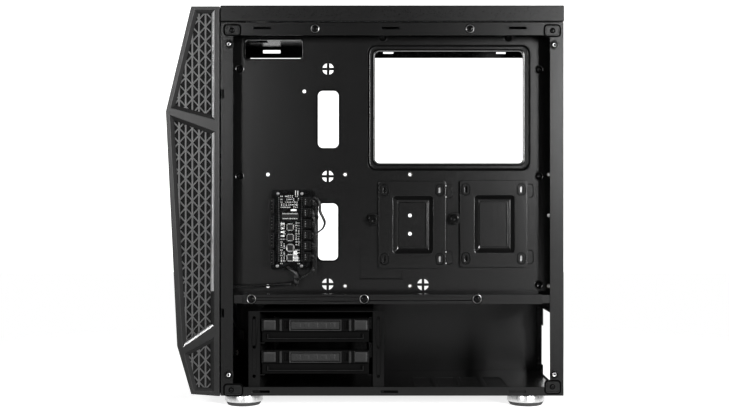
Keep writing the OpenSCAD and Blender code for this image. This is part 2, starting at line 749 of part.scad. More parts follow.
module audio_ports() color(plastic)
    for (x = [44, 60]) translate([x, port_y, chassis_top + 3.6]) difference() {
        cylinder(tower_h - chassis_top - 4, 3.2, 3.2);
        translate([0, 0, 2]) cylinder(20, 1.8, 1.8);
    }

module status_light() color([0.8, 0.85, 0.9])
    translate([-22, port_y, chassis_top + 3.6]) cylinder(tower_h - chassis_top - 3.8, 1.4, 1.4);

// ---------- bezel ----------

// Side outline of the bezel, its front and ends drawn in by t
function bezel_outline(t) = [
    [-189.9 + t, 438.9 - t], [-217.5 + t, 324.2], [-205.2 + t, 68.2], [-189.8 + t, 15.3 + t],
    [bezel_back + 2 * (t > 0 ? 1 : 0), 13.1 + t], [bezel_back + 2 * (t > 0 ? 1 : 0), 438.9 - t]];

module bezel_shell() color(plastic) {
    difference() {
        plate_x(-cw, 2 * cw) polygon(bezel_outline(0));
        plate_x(-cw + wall, 2 * (cw - wall)) polygon(bezel_outline(wall));
        plate_x(-cw - 1, 2 * cw + 2) for (w = [window_upper, window_middle, window_lower]) polygon(w);
        plate_x(-front_half - 0.4, 2 * front_half + 0.8)
            polygon([[-225, 40], [-225, 420], [-180, 420], [-180, 40]]);
    }
}

// Front face: three flat facets that follow the outline
module front_plate() color(plastic) {
    difference() {
        plate_x(-front_half, 2 * front_half) polygon([[-194.06, 420], [-217.2, 324.1], [-206.3, 93],
            [-204.9, 68.3], [-196.8, 40.4], [-193.8, 40.4], [-201.9, 68.3], [-203.3, 93],
            [-214.2, 324.1], [-191.06, 420]]);
        for (s = [-1, 1], i = [0:11]) translate([s * 50, -210, 70 + i * 28]) rotate([0, s * 35, 0])
            cube([4, 60, 24], center = true);
    }
}

// Triangular lattice in (y, z)
module lattice_2d() {
    a = atan2(lattice_step / 2, lattice_pitch);
    y_ref = lattice_y0 + 3 * lattice_pitch;
    for (i = [0:5]) translate([lattice_y0 + i * lattice_pitch - lattice_bar / 2, 10])
        square([lattice_bar, 430]);
    for (k = [-2:27]) for (s = [-1, 1])
        translate([y_ref, lattice_z0 - k * lattice_step]) rotate(s * a)
            square([110, lattice_bar * 0.8], center = true);
}

module lattice_panel(x0) color(plastic)
    plate_x(x0, lattice_t) intersection() {
        for (w = [window_upper, window_middle, window_lower]) polygon(w);
        lattice_2d();
    }
module lattice_right() lattice_panel(lattice_x);
module lattice_left() lattice_panel(-lattice_x - lattice_t);

module side_filter(x0) color([0.02, 0.02, 0.02])
    plate_x(x0, 0.8) polygon([[-187, 435.5], [-163, 435.5], [-163, 18.4], [-186.5, 18.4], [-201.8, 68],
        [-213.5, 324]]);
module side_filter_right() side_filter(lattice_x - 1);
module side_filter_left() side_filter(-lattice_x + 0.2);

module bezel_trim() color(silver)
    for (s = [-1, 1]) plate_x(s > 0 ? lattice_x + lattice_t + 0.05 : -lattice_x - lattice_t - 1.65, 1.6) {
        polygon([[-164.1 - trim_w, 434.8], [-164.1, 434.8], [-164.3, 315.7], [-164.3 - trim_w, 316.7]]);
        polygon([[-164.4 - trim_w, 302.8], [-164.4, 301.4], [-165.3, 96], [-165.3 - trim_w, 93]]);
        polygon([[-165.3, 90.3], [-165.3, 94.6], [-198.4, 70.9], [-198.6, 66.9]]);
    }

module front_filter() color([0.03, 0.03, 0.03])
    difference() {
        plate_y(-188.2, 1.4) rect(-68, 36, 68, 418);
        plate_y(-190, 6) for (i = [0:11], j = [0:3])
            translate([-49.5 + j * 33, 56.5 + i * 31]) square([29, 27], center = true);
    }

module bezel_clips() color(plastic)
    for (s = [-1, 1], z = [60, 240, 395]) {
        plate_y(bezel_back - 4, 4 - 0.2) translate([s * (cw - wall - 12), z])
            square([24, 22], center = true);
        plate_y(bezel_back - 0.3, 7) for (u = [-2.6, 2.6]) translate([s * 90 + u, z])
            square([1.6, 10], center = true);
    }

// ---------- fans ----------

module fan_frame(z) color(plastic)
    translate([0, fan_y, z]) difference() {
        union() {
            for (y = [0, fan_depth - 4]) plate_y(y, 4)
                rrect([-fan_size / 2, -fan_size / 2, fan_size / 2, fan_size / 2, 6]);
            plate_y(2, fan_depth - 4) circle(59.4, $fn = 72);
        }
        difference() {
            plate_y(-1, fan_depth + 2) circle(57, $fn = 72);
            plate_y(fan_depth - 4, 4) {
                circle(rotor_hub + 1);
                for (a = [0:90:270]) rotate(a + 20) translate([38, 0]) square([42, 4], center = true);
            }
        }
        plate_y(-1, fan_depth + 2) for (u = [-1, 1], v = [-1, 1])
            translate([u * fan_holes / 2, v * fan_holes / 2]) circle(2.2);
    }
module fan_frame_top() fan_frame(fan_z[2]);
module fan_frame_middle() fan_frame(fan_z[1]);
module fan_frame_bottom() fan_frame(fan_z[0]);

module fan_rotor(z) color([0.5, 0.52, 0.55])
    translate([0, fan_y + 1, z]) rotate([-90, 0, 0]) {
        cylinder(18.5, rotor_hub, rotor_hub);
        intersection() {
            for (i = [0:fan_blades - 1]) rotate(i * 360 / fan_blades) translate([rotor_hub - 2, 0, 9.2])
                rotate([38, 0, 0]) translate([0, -13, -1]) cube([50, 26, 2]);
            translate([0, 0, 0.6]) cylinder(17.6, rotor_r, rotor_r, $fn = 72);
        }
    }
module fan_rotor_top() fan_rotor(fan_z[2]);
module fan_rotor_middle() fan_rotor(fan_z[1]);
module fan_rotor_bottom() fan_rotor(fan_z[0]);

module fan_screws() color(silver)
    for (z = fan_z, u = [-1, 1], v = [-1, 1])
        translate([u * fan_holes / 2, front_in, z + v * fan_holes / 2]) rotate([-90, 0, 0]) {
            cylinder(1.8, 3.6, 2.8);
            translate([0, 0, -10]) cylinder(10.1, 1.9, 1.9);
        }

// ---------- underside ----------

module foot_shells() color(silver)
    for (x = [-1, 1], y = foot_y) translate([x * foot_x, y, pad_h]) difference() {
        union() {
            cylinder(1.2, foot_d / 2 - 1, foot_d / 2);
            translate([0, 0, 1.2 - eps]) cylinder(floor_z - pad_h - 2.2 + eps, foot_d / 2, foot_d / 2);
            translate([0, 0, floor_z - pad_h - 1 - eps]) cylinder(1 + eps, foot_d / 2, foot_d / 2 - 0.8);
        }
        translate([0, 0, -1]) cylinder(3, foot_d / 2 - 3, foot_d / 2 - 3);
    }

module foot_pads() color(rubber)
    for (x = [-1, 1], y = foot_y) translate([x * foot_x, y, 0]) {
        cylinder(pad_h, foot_d / 2 - 3, foot_d / 2 - 1.2);
        translate([0, 0, pad_h - eps]) cylinder(2, foot_d / 2 - 3.1, foot_d / 2 - 3.1);
    }

module psu_filter() color([0.03, 0.03, 0.03])
    difference() {
        plate_z(floor_z - 3.4, 3) rect(psu_vent_x - 47, 40, psu_vent_x + 47, rear_in);
        plate_z(floor_z - 5, 8) for (i = [0:4], j = [-1:1])
            translate([psu_vent_x + j * 29, 62 + i * 31]) square([26, 27], center = true);
    }

rear_panel();
front_panel();
top_panel();
floor_panel();
motherboard_tray();
tray_front();
tray_slots();
tray_embossing();
tray_rail();
psu_shroud();
corner_brackets();
rivets();
side_screws();
standoffs();
slot_covers();
slot_cover_screws();
drive_cage();
hdd_tray_upper();
hdd_tray_lower();
ssd_bracket_front();
ssd_bracket_rear();
ssd_thumbscrew_front();
ssd_thumbscrew_rear();
hub_base();
hub_board();
hub_chips();
hub_headers();
hub_plugs();
hub_screws();
lead_front();
lead_loop();
lead_bundle();
cable_tie();
top_cover();
top_filter();
power_button();
reset_button();
port_board();
usb_ports();
audio_ports();
status_light();
bezel_shell();
front_plate();
lattice_right();
lattice_left();
side_filter_right();
side_filter_left();
bezel_trim();
front_filter();
bezel_clips();
fan_frame_top();
fan_frame_middle();
fan_frame_bottom();
fan_rotor_top();
fan_rotor_middle();
fan_rotor_bottom();
fan_screws();
foot_shells();
foot_pads();
psu_filter();
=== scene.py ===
"""Looks for the open mid-tower case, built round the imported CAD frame. Lengths are metres."""
import json
import math
import random

import bmesh
import bpy
from mathutils import Matrix, Vector


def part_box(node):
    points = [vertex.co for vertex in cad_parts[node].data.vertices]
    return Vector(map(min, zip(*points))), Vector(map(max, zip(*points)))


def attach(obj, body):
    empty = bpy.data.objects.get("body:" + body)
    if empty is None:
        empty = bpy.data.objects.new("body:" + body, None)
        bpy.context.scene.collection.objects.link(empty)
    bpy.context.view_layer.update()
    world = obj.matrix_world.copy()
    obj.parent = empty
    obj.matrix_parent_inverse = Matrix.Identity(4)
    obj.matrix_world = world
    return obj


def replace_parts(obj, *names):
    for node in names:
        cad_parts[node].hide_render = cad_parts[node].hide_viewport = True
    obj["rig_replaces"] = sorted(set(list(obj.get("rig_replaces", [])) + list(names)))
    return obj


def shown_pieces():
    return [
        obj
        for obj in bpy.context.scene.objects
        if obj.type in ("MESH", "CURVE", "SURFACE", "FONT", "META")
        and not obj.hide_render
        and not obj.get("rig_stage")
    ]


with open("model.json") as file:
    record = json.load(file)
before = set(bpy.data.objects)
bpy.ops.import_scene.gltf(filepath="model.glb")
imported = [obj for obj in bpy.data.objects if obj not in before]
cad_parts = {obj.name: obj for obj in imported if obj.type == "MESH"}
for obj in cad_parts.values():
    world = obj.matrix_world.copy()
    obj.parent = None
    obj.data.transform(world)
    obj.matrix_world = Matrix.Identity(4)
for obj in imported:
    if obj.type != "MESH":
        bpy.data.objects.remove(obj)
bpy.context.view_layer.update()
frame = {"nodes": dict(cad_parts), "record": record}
MM = 0.001
nodes = frame["nodes"]
node_body = {n: b for b, members in frame["record"]["behaviour"]["bodies"].items() for n in members}
node_slot = {s["node"]: s["material_slot"] for s in frame["record"]["subparts"]}
scene = bpy.context.scene
random.seed(11)


# ---------------------------------------------------------------- camera, lights, floor

CAMERA_X = 1.411
CAMERA_Z = 0.2203
LENS = 59.0


def make_camera():
    data = bpy.data.cameras.new("camera")
    data.lens = LENS
    data.sensor_width = 36.0
    data.clip_end = 50
    camera = bpy.data.objects.new("camera", data)
    camera.location = (CAMERA_X, 0.0, CAMERA_Z)
    camera.rotation_euler = (math.radians(90), 0, math.radians(90))
    scene.collection.objects.link(camera)
    scene.camera = camera


def area_light(name, place, target, size, power):
    data = bpy.data.lights.new(name, "AREA")
    data.shape = "RECTANGLE"
    data.size, data.size_y = size
    data.energy = power
    light = bpy.data.objects.new(name, data)
    light.location = place
    light.rotation_euler = (Vector(target) - Vector(place)).to_track_quat("-Z", "Y").to_euler()
    light.visible_camera = False
    scene.collection.objects.link(light)


def make_lights():
    area_light("rear_side", (1.5, 0.8, 0.5), (0.08, 0.14, 0.26), (0.2, 0.45), 48)
    area_light("front_side", (1.5, -0.62, 0.5), (0.08, -0.14, 0.3), (0.2, 0.5), 12)
    area_light("top", (0.1, 0.0, 2.0), (0.1, 0, 0), (1.8, 1.8), 6)
    world = bpy.data.worlds.new("studio")
    scene.world = world
    world.use_nodes = True
    background = world.node_tree.nodes["Background"]
    background.inputs["Color"].default_value = (1, 1, 1, 1)
    background.inputs["Strength"].default_value = 0.02
    scene.view_settings.view_transform = "Standard"
    scene.view_settings.look = "None"


def made_object(name, bm):
    """Turns bm into a linked object, and frees it."""
    mesh = bpy.data.meshes.new(name)
    bm.to_mesh(mesh)
    bm.free()
    thing = bpy.data.objects.new(name, mesh)
    scene.collection.objects.link(thing)
    return thing


def add_node(tree, kind, inputs=None, **settings):
    """A shader node. An input that is another node's socket is linked, anything else is set."""
    made = tree.nodes.new("ShaderNode" + kind)
    for key, value in settings.items():
        setattr(made, key, value)
    for key, value in (inputs or {}).items():
        if isinstance(value, bpy.types.NodeSocket):
            tree.links.new(value, made.inputs[key])
        else:
            made.inputs[key].default_value = value
    return made


def pale_paint(name, glow):
    paint = bpy.data.materials.new(name)
    paint.use_nodes = True
    shader = paint.node_tree.nodes["Principled BSDF"]
    for key, value in (("Base Color", (0.6, 0.6, 0.6, 1)), ("Roughness", 0.9), ("Specular IOR Level", 0.0),
                       ("Emission Color", (1, 1, 1, 1)), ("Emission Strength", glow)):
        shader.inputs[key].default_value = value
    return paint, shader


def disc(radius):
    bm = bmesh.new()
    bmesh.ops.create_circle(bm, cap_ends=True, radius=radius, segments=96)
    return bm


def make_floor():
    """A pale floor that glows behind the case only, and a lit white wall."""
    floor = made_object("floor", disc(6))
    floor.location.z = -0.0002
    paint, shader = pale_paint("floor_paint", 0.7)
    tree = paint.node_tree
    place = add_node(tree, "TexCoord").outputs["Object"]
    split = add_node(tree, "SeparateXYZ", {"Vector": place})
    fade = add_node(tree, "MapRange", {"Value": split.outputs["X"], "From Min": 0.13, "From Max": 0.32,
                                       "To Min": 0.8, "To Max": 0.0}, interpolation_type="SMOOTHSTEP")
    tree.links.new(fade.outputs["Result"], shader.inputs["Emission Strength"])
    floor.data.materials.append(paint)
    floor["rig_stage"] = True
    bm = bmesh.new()
    bmesh.ops.create_grid(bm, x_segments=1, y_segments=1, size=1)
    bmesh.ops.scale(bm, vec=(3.2, 1.8, 1), verts=bm.verts)
    wall = made_object("wall", bm)
    wall.location = (-2.6, 0, 1.7)
    wall.rotation_euler = (math.radians(90), 0, math.radians(90))
    wall.data.materials.append(pale_paint("wall_paint", 1.0)[0])
    wall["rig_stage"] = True


def glow_only(name, bm, fade=None):
    """White studio surround that lights nothing; fade is the two radii where it comes in."""
    surround = made_object(name, bm)
    paint = bpy.data.materials.new(name + "_paint")
    paint.use_nodes = True
    tree = paint.node_tree
    tree.nodes.clear()
    result = add_node(tree, "Emission").outputs["Emission"]
    if fade:
        place = add_node(tree, "TexCoord").outputs["Object"]
        reach = add_node(tree, "VectorMath", {0: place}, operation="LENGTH").outputs["Value"]
        share = add_node(tree, "MapRange", {"Value": reach, "From Min": fade[0], "From Max": fade[1]},
                         interpolation_type="SMOOTHSTEP").outputs["Result"]
        clear = add_node(tree, "BsdfTransparent").outputs["BSDF"]
        result = add_node(tree, "MixShader", {"Fac": share, 1: clear, 2: result}).outputs["Shader"]
    add_node(tree, "OutputMaterial", {"Surface": result})
    surround.data.materials.append(paint)
    for ray in ("diffuse", "glossy", "transmission", "volume_scatter", "shadow"):
        setattr(surround, "visible_" + ray, False)
    surround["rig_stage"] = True
    return surround


def make_surround():
    bm = bmesh.new()
    bmesh.ops.create_uvsphere(bm, u_segments=48, v_segments=24, radius=7)
    glow_only("surround", bm)
    glow_only("far_floor", disc(6.9), (0.34, 0.85)).location.z = 0.0001


make_camera()
make_lights()
make_floor()
make_surround()


# ---------------------------------------------------------------- materials

def new_material(name):
    made = bpy.data.materials.new(name)
    made.use_nodes = True
    tree = made.node_tree
    return made, tree, tree.nodes["Principled BSDF"], add_node(tree, "TexCoord").outputs["Object"]


def noise(tree, place, scale, detail=3.0, roughness=0.5):
    return add_node(tree, "TexNoise", {"Vector": place, "Scale": scale, "Detail": detail,
                                       "Roughness": roughness}).outputs["Fac"]


def ramp(tree, source, low, high, start=0.3, end=0.7):
    node = add_node(tree, "ValToRGB", {"Fac": source})
    for stop, place, colour in zip(node.color_ramp.elements, (start, end), (low, high)):
        stop.position = place
        stop.color = (*colour, 1)
    return node.outputs["Color"]


def between(tree, source, low, high):
    return add_node(tree, "MapRange", {"Value": source, "From Min": 0.3, "From Max": 0.7,
                                       "To Min": low, "To Max": high}).outputs["Result"]


def bump(tree, shader, height, strength, distance):
    node = add_node(tree, "Bump", {"Height": height, "Strength": strength, "Distance": distance})
    tree.links.new(node.outputs["Normal"], shader.inputs["Normal"])


def grey(value):
    return (value, value, value)


def grained(name, dark, light, rough, grain, strength, depth, specular=0.5, patch=14):
    """Painted or moulded surface: fine grain, slow colour drift and varied gloss."""
    made, tree, shader, place = new_material(name)
    fine = noise(tree, place, grain, 2.0, 0.6)
    slow = noise(tree, place, patch)
    speck = add_node(tree, "Mix", {"Factor": 0.55, "A": ramp(tree, slow, grey(dark), grey(light)),
                                   "B": ramp(tree, fine, grey(0.55), grey(1.0), 0.35, 0.62)},
                     data_type="RGBA", blend_type="MULTIPLY")
    tree.links.new(speck.outputs["Result"], shader.inputs["Base Color"])
    tree.links.new(between(tree, fine, *rough), shader.inputs["Roughness"])
    shader.inputs["Specular IOR Level"].default_value = specular
    bump(tree, shader, fine, strength, depth)
    return made


def satin_metal(name, low, high, rough):
    """Plated or anodised metal with fine brushing along one axis."""
    made, tree, shader, place = new_material(name)
    drawn = add_node(tree, "Mapping", {"Vector": place, "Scale": (1, 1, 0.03)}).outputs["Vector"]
    lines = noise(tree, drawn, 1400, 2.0)
    slow = noise(tree, place, 30, 2.0)
    tree.links.new(ramp(tree, slow, low, high), shader.inputs["Base Color"])
    tree.links.new(between(tree, lines, *rough), shader.inputs["Roughness"])
    shader.inputs["Metallic"].default_value = 1.0
    bump(tree, shader, lines, 0.12, 0.0001)
    return made


def circuit_board(name):
    """Dark solder mask with tracks in a rectilinear maze."""
    made, tree, shader, place = new_material(name)
    cells = add_node(tree, "TexVoronoi", {"Vector": place, "Scale": 420}, distance="CHEBYCHEV", feature="F1")
    tracks = ramp(tree, cells.outputs["Distance"], grey(0.0006), (0.006, 0.0066, 0.007), 0.42, 0.6)
    shader.inputs["Specular IOR Level"].default_value = 0.03
    tree.links.new(tracks, shader.inputs["Base Color"])
    tree.links.new(between(tree, noise(tree, place, 1500, 2.0), 0.28, 0.42), shader.inputs["Roughness"])
    bump(tree, shader, cells.outputs["Distance"], 0.25, 0.0001)
    return made


def woven_mesh(name):
    """Fine nylon mesh: crossed threads as bump and colour."""
    made, tree, shader, place = new_material(name)
    weave = add_node(tree, "TexVoronoi", {"Vector": place, "Scale": 1100, "Randomness": 0.0},
                     distance="CHEBYCHEV")
    colour = ramp(tree, weave.outputs["Distance"], grey(0.0008), grey(0.006), 0.25, 0.5)
    shader.inputs["Specular IOR Level"].default_value = 0.08
    tree.links.new(colour, shader.inputs["Base Color"])
    tree.links.new(between(tree, noise(tree, place, 400), 0.6, 0.8), shader.inputs["Roughness"])
    bump(tree, shader, weave.outputs["Distance"], 0.5, 0.0003)
    return made


# darkest and lightest grey, roughness range, grain scale, bump strength and depth, specular, patch scale
PAINTS = {
    # the first entry is near-black painted shade, laid in grooves, hollows, screw seats and round raised
    # plates
    "painted_shade_black": (0.0006, 0.0012, (0.75, 0.9), 1600, 0.1, 0.0001, 0.02),
    "solder": (0.25, 0.95, (0.3, 0.5), 2600, 0.1, 0.0001, 0.6, 420),
    "slope": (0.004, 0.007, (0.6, 0.75), 1600, 0.2, 0.0002, 0.15),
    "lattice": (0.02, 0.032, (0.34, 0.48), 1600, 0.2, 0.0002, 0.6),
    "steel_black": (0.0009, 0.0016, (0.2, 0.27), 1050, 0.4, 0.00015, 0.28),
    "cage_steel": (0.005, 0.008, (0.5, 0.6), 1050, 0.4, 0.00015, 0.0),
    # next entry: dark matt plastic of the drive trays, also laid as painted shadow on the brackets' recess
    # walls
    "matt_plastic_and_shade": (0.0009, 0.0018, (0.5, 0.6), 1100, 0.3, 0.00015, 0.03),
    "top_plastic": (0.0015, 0.003, (0.26, 0.36), 900, 0.35, 0.0002, 0.15),
    "screw_black": (0.0015, 0.003, (0.12, 0.2), 2200, 0.06, 0.0001, 0.12),
    "plastic_black": (0.003, 0.005, (0.3, 0.4), 1100, 0.2, 0.00015, 0.35),
    "component": (0.002, 0.005, (0.3, 0.5), 2600, 0.15, 0.0001, 0.15),
    "plug_plastic": (0.001, 0.003, (0.3, 0.45), 1800, 0.3, 0.0002, 0.1),
    "lead": (0.0015, 0.003, (0.24, 0.34), 900, 0.12, 0.0001, 0.3),
    "cover_plastic": (0.004, 0.006, (0.3, 0.42), 900, 0.35, 0.0002, 0.28),
    "light_lens": (0.6, 0.7, (0.1, 0.2), 800, 0.05, 0.0001),
    "rotor_plastic": (0.3, 0.36, (0.25, 0.4), 1200, 0.1, 0.0001),
    "rubber": (0.012, 0.02, (0.6, 0.8), 2000, 0.3, 0.0002),
}
# darkest and lightest colour, roughness range
METALS = {
    "dull_metal": (grey(0.16), grey(0.26), (0.3, 0.42)),
    "ring_steel": (grey(0.08), grey(0.13), (0.25, 0.35)),
    "aged_brass": ((0.03, 0.028, 0.024), (0.06, 0.055, 0.045), (0.4, 0.5)),
    "screw_bright": (grey(0.55), grey(0.72), (0.18, 0.32)),
    "silver_trim": (grey(0.58), grey(0.7), (0.24, 0.36)),
    "port_metal": (grey(0.5), grey(0.68), (0.2, 0.35)),
}
MATERIALS = {name: grained(name, *values) for name, values in PAINTS.items()}
MATERIALS.update((name, satin_metal(name, *values)) for name, values in METALS.items())
MATERIALS.update(board=circuit_board("board"), filter_mesh=woven_mesh("filter_mesh"))


# ---------------------------------------------------------------- mesh helpers

def shade(mesh, angle):
    mesh.polygons.foreach_set("use_smooth", [True] * len(mesh.polygons))
    mesh.set_sharp_from_angle(angle=math.radians(angle))


def keep_flats(piece):
    """Keeps large flat faces evenly shaded beside rounded edges."""
    flats = piece.modifiers.new("flats", "WEIGHTED_NORMAL")
    flats.mode = "FACE_AREA"
    flats.weight = 100
    flats.keep_sharp = True


def cut_out(piece, tool, crossing=False):
    """Cuts tool out of piece's mesh for good. crossing says that tool's own solids overlap."""
    cut = piece.modifiers.new("cut", "BOOLEAN")
    cut.operation = "DIFFERENCE"
    cut.object = tool
    cut.solver = "EXACT"
    cut.use_self = crossing
    graph = bpy.context.evaluated_depsgraph_get()
    graph.update()
    made = bpy.data.meshes.new_from_object(piece.evaluated_get(graph))
    piece.modifiers.clear()
    piece.data = made
    bpy.data.objects.remove(tool)


def add_piece(name, bm, body, slot, replaces=(), angle=35, bevel=0.0, material=None,
              smooth_flats=False):
    """Turns bm into a piece that rides on body. It is seen in material, or else in its slot's look."""
    bmesh.ops.recalc_face_normals(bm, faces=bm.faces)
    piece = made_object(name, bm)
    shade(piece.data, angle)
    piece.data.materials.append(MATERIALS[material or slot])
    if bevel or smooth_flats:
        keep_flats(piece)
    if bevel:
        rounding = piece.modifiers.new("edges", "BEVEL")
        rounding.width = bevel
        rounding.segments = 2
        rounding.limit_method = "ANGLE"
        rounding.angle_limit = math.radians(40)
        rounding.use_clamp_overlap = False
        piece.modifiers.move(1, 0)
    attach(piece, body)
    if replaces:
        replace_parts(piece, *replaces)
    return piece


def refined(node, bevel, material, angle):
    """A copy of a CAD node with softly rounded edges, shown in its place."""
    bm = bmesh.new()
    bm.from_mesh(nodes[node].data)
    bmesh.ops.remove_doubles(bm, verts=bm.verts, dist=0.01 * MM)
    add_piece(node + "_finish", bm, node_body[node], node_slot[node], [node],
              bevel=bevel, material=material, angle=angle)


def add_box(bm, low, high):
    centre = (Vector(low) + Vector(high)) / 2
    size = Vector(high) - Vector(low)
    at = Matrix.Translation(centre) @ Matrix.Diagonal((*size, 1))
    return bmesh.ops.create_cube(bm, size=1, matrix=at)["verts"]


def sweep(bm, points, radius, sides=8):
    """Round tube along points with closed ends."""
    rings = []
    side = None
    for i, p in enumerate(points):
        ahead = points[min(i + 1, len(points) - 1)] - points[max(i - 1, 0)]
        ahead.normalize()
        if side is None:
            side = ahead.orthogonal().normalized()
        side = (side - ahead * side.dot(ahead)).normalized()
        up = ahead.cross(side)
        ring = []
        for k in range(sides):
            a = 2 * math.pi * k / sides
            ring.append(bm.verts.new(p + radius * (math.cos(a) * side + math.sin(a) * up)))
        rings.append(ring)
    for a, b in zip(rings, rings[1:]):
        for k in range(sides):
            bm.faces.new((a[k], a[(k + 1) % sides], b[(k + 1) % sides], b[k]))
    bm.faces.new(rings[0])
    bm.faces.new(rings[-1])


def smooth_route(points, steps=5):
    """Catmull-Rom curve through the points."""
    out = []
    last = len(points) - 1
    for i in range(last):
        a, b = points[max(i - 1, 0)], points[i]
        c, d = points[i + 1], points[min(i + 2, last)]
        for k in range(steps):
            t = k / steps
            out.append(0.5 * (2 * b + (c - a) * t + (2 * a - 5 * b + 4 * c - d) * t * t
                              + (3 * b - a - 3 * c + d) * t ** 3))
    out.append(points[last].copy())
    return out


def lathe(bm, profile, matrix, segments):
    """Turns (radius, height) points round local Z, closed at both ends."""
    rings = []
    for r, h in profile:
        if r < 1e-7:
            rings.append([bm.verts.new(matrix @ Vector((0, 0, h)))])
            continue
        rings.append([bm.verts.new(matrix @ Vector((r * math.cos(2 * math.pi * k / segments),
                                                    r * math.sin(2 * math.pi * k / segments), h)))
                      for k in range(segments)])
    for a, b in zip(rings, rings[1:]):
        for k in range(segments):
            n = (k + 1) % segments
            corners = [a[k % len(a)], a[n % len(a)], b[n % len(b)], b[k % len(b)]]
            distinct = list(dict.fromkeys(corners))
            if len(distinct) > 2:
                bm.faces.new(distinct)
    for ring in (rings[0], rings[-1]):
        if len(ring) > 1:
            bm.faces.new(ring)


def lathe_ring(bm, profile, matrix, segments=40):
    """Turns a closed ring section, in mm, round local Z."""
    rings = []
    for r, h in profile:
        r, h = r * MM, h * MM
        rings.append([bm.verts.new(matrix @ Vector((r * math.cos(2 * math.pi * k / segments),
                                                    r * math.sin(2 * math.pi * k / segments), h)))
                      for k in range(segments)])
    for a, b in zip(rings, rings[1:] + rings[:1]):
        for k in range(segments):
            n = (k + 1) % segments
            bm.faces.new((a[k], a[n], b[n], b[k]))


def side_point(x, box):
    """The middle of a box as seen from the side, at depth x."""
    low, high = box
    return Vector((x, (low.y + high.y) / 2, (low.z + high.z) / 2))


FACE_X = Matrix.Rotation(math.radians(90), 4, "Y")


# ---------------------------------------------------------------- screws

def screw_template(radius, height):
    """Domed screw head with a cross recess, on the plane z = 0, as mesh data."""
    bm = bmesh.new()
    dome = [(radius * 0.999, 0), (radius, height * 0.35)]
    for i in range(1, 7):
        a = math.radians(90 * i / 6)
        dome.append((radius * (1 - 0.45 * (1 - math.cos(a))), height * (0.35 + 0.65 * math.sin(a))))
    dome.append((0, height * 1.02))
    lathe(bm, dome, Matrix.Identity(4), 32)
    bmesh.ops.recalc_face_normals(bm, faces=bm.faces)
    head = made_object("screw_head", bm)
    bm = bmesh.new()
    reach = radius * 0.62
    arm = radius * 0.13
    for turn in (0, 90):
        blade = add_box(bm, (-reach, -arm, height * 0.35), (reach, arm, height * 1.5))
        bmesh.ops.rotate(bm, verts=blade, cent=(0, 0, 0), matrix=Matrix.Rotation(math.radians(turn), 3, "Z"))
    cut_out(head, made_object("screw_cutter", bm), crossing=True)
    made = head.data
    bpy.data.objects.remove(head)
    return made


def islands(node):
    """Boxes of a node's separate solids: a list of (lowest corner, highest corner)."""
    bm = bmesh.new()
    bm.from_mesh(nodes[node].data)
    bmesh.ops.remove_doubles(bm, verts=bm.verts, dist=0.01 * MM)
    seen = set()
    found = []
    for start in bm.verts:
        if start in seen:
            continue
        group = [start]
        seen.add(start)
        for v in group:
            for e in v.link_edges:
                other = e.other_vert(v)
                if other not in seen:
                    seen.add(other)
                    group.append(other)
        low = Vector([min(v.co[i] for v in group) for i in range(3)])
        high = Vector([max(v.co[i] for v in group) for i in range(3)])
        found.append((low, high))
    bm.free()
    return found


def placed_screws(name, node, template, places, turn, body, slot, material=None):
    """Copies of template at places, its +Z turned by the matrix turn, each with its own spin."""
    bm = bmesh.new()
    for place in places:
        spin = Matrix.Rotation(random.uniform(0, math.pi / 2), 4, "Z")
        copy = template.copy()
        copy.transform(Matrix.Translation(place) @ turn @ spin)
        bm.from_mesh(copy)
        bpy.data.meshes.remove(copy)
    add_piece(name, bm, body, slot, [node], material=material)


def side_screws():
    """Screws on the cable side: rail, flanges, brackets, hub."""
    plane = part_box("tray_rail")[1].x
    heads = [box for box in islands("side_screws") if box[1].x - box[0].x > 1.5 * MM]
    places = [side_point(plane, box) for box in heads if box[0].x < plane + 0.5 * MM]
    placed_screws("side_screw_heads", "side_screws", screw_template(3.4 * MM, 1.9 * MM), places, FACE_X,
                  "chassis", "screw_black")
    corners = [side_point(box[0].x, box) for box in heads if box[0].x > plane + 0.5 * MM]
    placed_screws("corner_screw_heads", "side_screws", screw_template(2.1 * MM, 1.1 * MM), corners, FACE_X,
                  "chassis", "screw_black")
    rings = bmesh.new()
    # seats holds flat near-black rings of painted shade: round each corner screw, under each head and just
    # outside each ring
    seats = bmesh.new()
    for place in corners:
        at = Matrix.Translation(place) @ FACE_X
        lathe_ring(seats, [(2, 0), (2, 0.3), (2.7, 0.42), (3, 0.1), (3, 0)], at)
    for place in places:
        at = Matrix.Translation(place) @ FACE_X
        r = 5.0 if place.z < 0.2 else 4.6
        lathe_ring(rings, [(r - 0.9, 0), (r - 0.8, 0.45), (r - 0.45, 0.6), (r - 0.1, 0.5), (r, 0)], at)
        lathe_ring(seats, [(2, 0), (2, 0.07), (r - 0.85, 0.07), (r - 0.85, 0)], at)
        lathe_ring(seats, [(r, 0), (r, 0.04), (r + 0.8, 0.04), (r + 0.8, 0)], at)
    add_piece("side_screw_rings", rings, "chassis", "steel_black", material="ring_steel")
    # painted shade in the screw seats
    add_piece("side_screw_shade", seats, "chassis", "steel_black", material="painted_shade_black")
    places = [side_point(box[0].x, box) for box in islands("hub_screws")]
    placed_screws("hub_screw_heads", "hub_screws", screw_template(1.9 * MM, 1.2 * MM), places, FACE_X,
                  "chassis", "screw_bright", "dull_metal")


def other_screws():
    """Screws of the fans and of the slot covers."""
    turn_back = Matrix.Rotation(math.radians(-90), 4, "X")
    turn_front = Matrix.Rotation(math.radians(90), 4, "X")
    head = screw_template(3.5 * MM, 1.8 * MM)
    places = [Vector(((a.x + b.x) / 2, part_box("front_panel")[0].y + MM, (a.z + b.z) / 2))
              for a, b in islands("fan_screws")]
    placed_screws("fan_screw_heads", "fan_screws", head, places, turn_back, "chassis", "screw_bright")
    places = [Vector(((a.x + b.x) / 2, b.y, (a.z + b.z) / 2)) for a, b in islands("slot_cover_screws")]
    placed_screws("slot_screw_heads", "slot_cover_screws", head, places, turn_front, "chassis",
                  "screw_black")


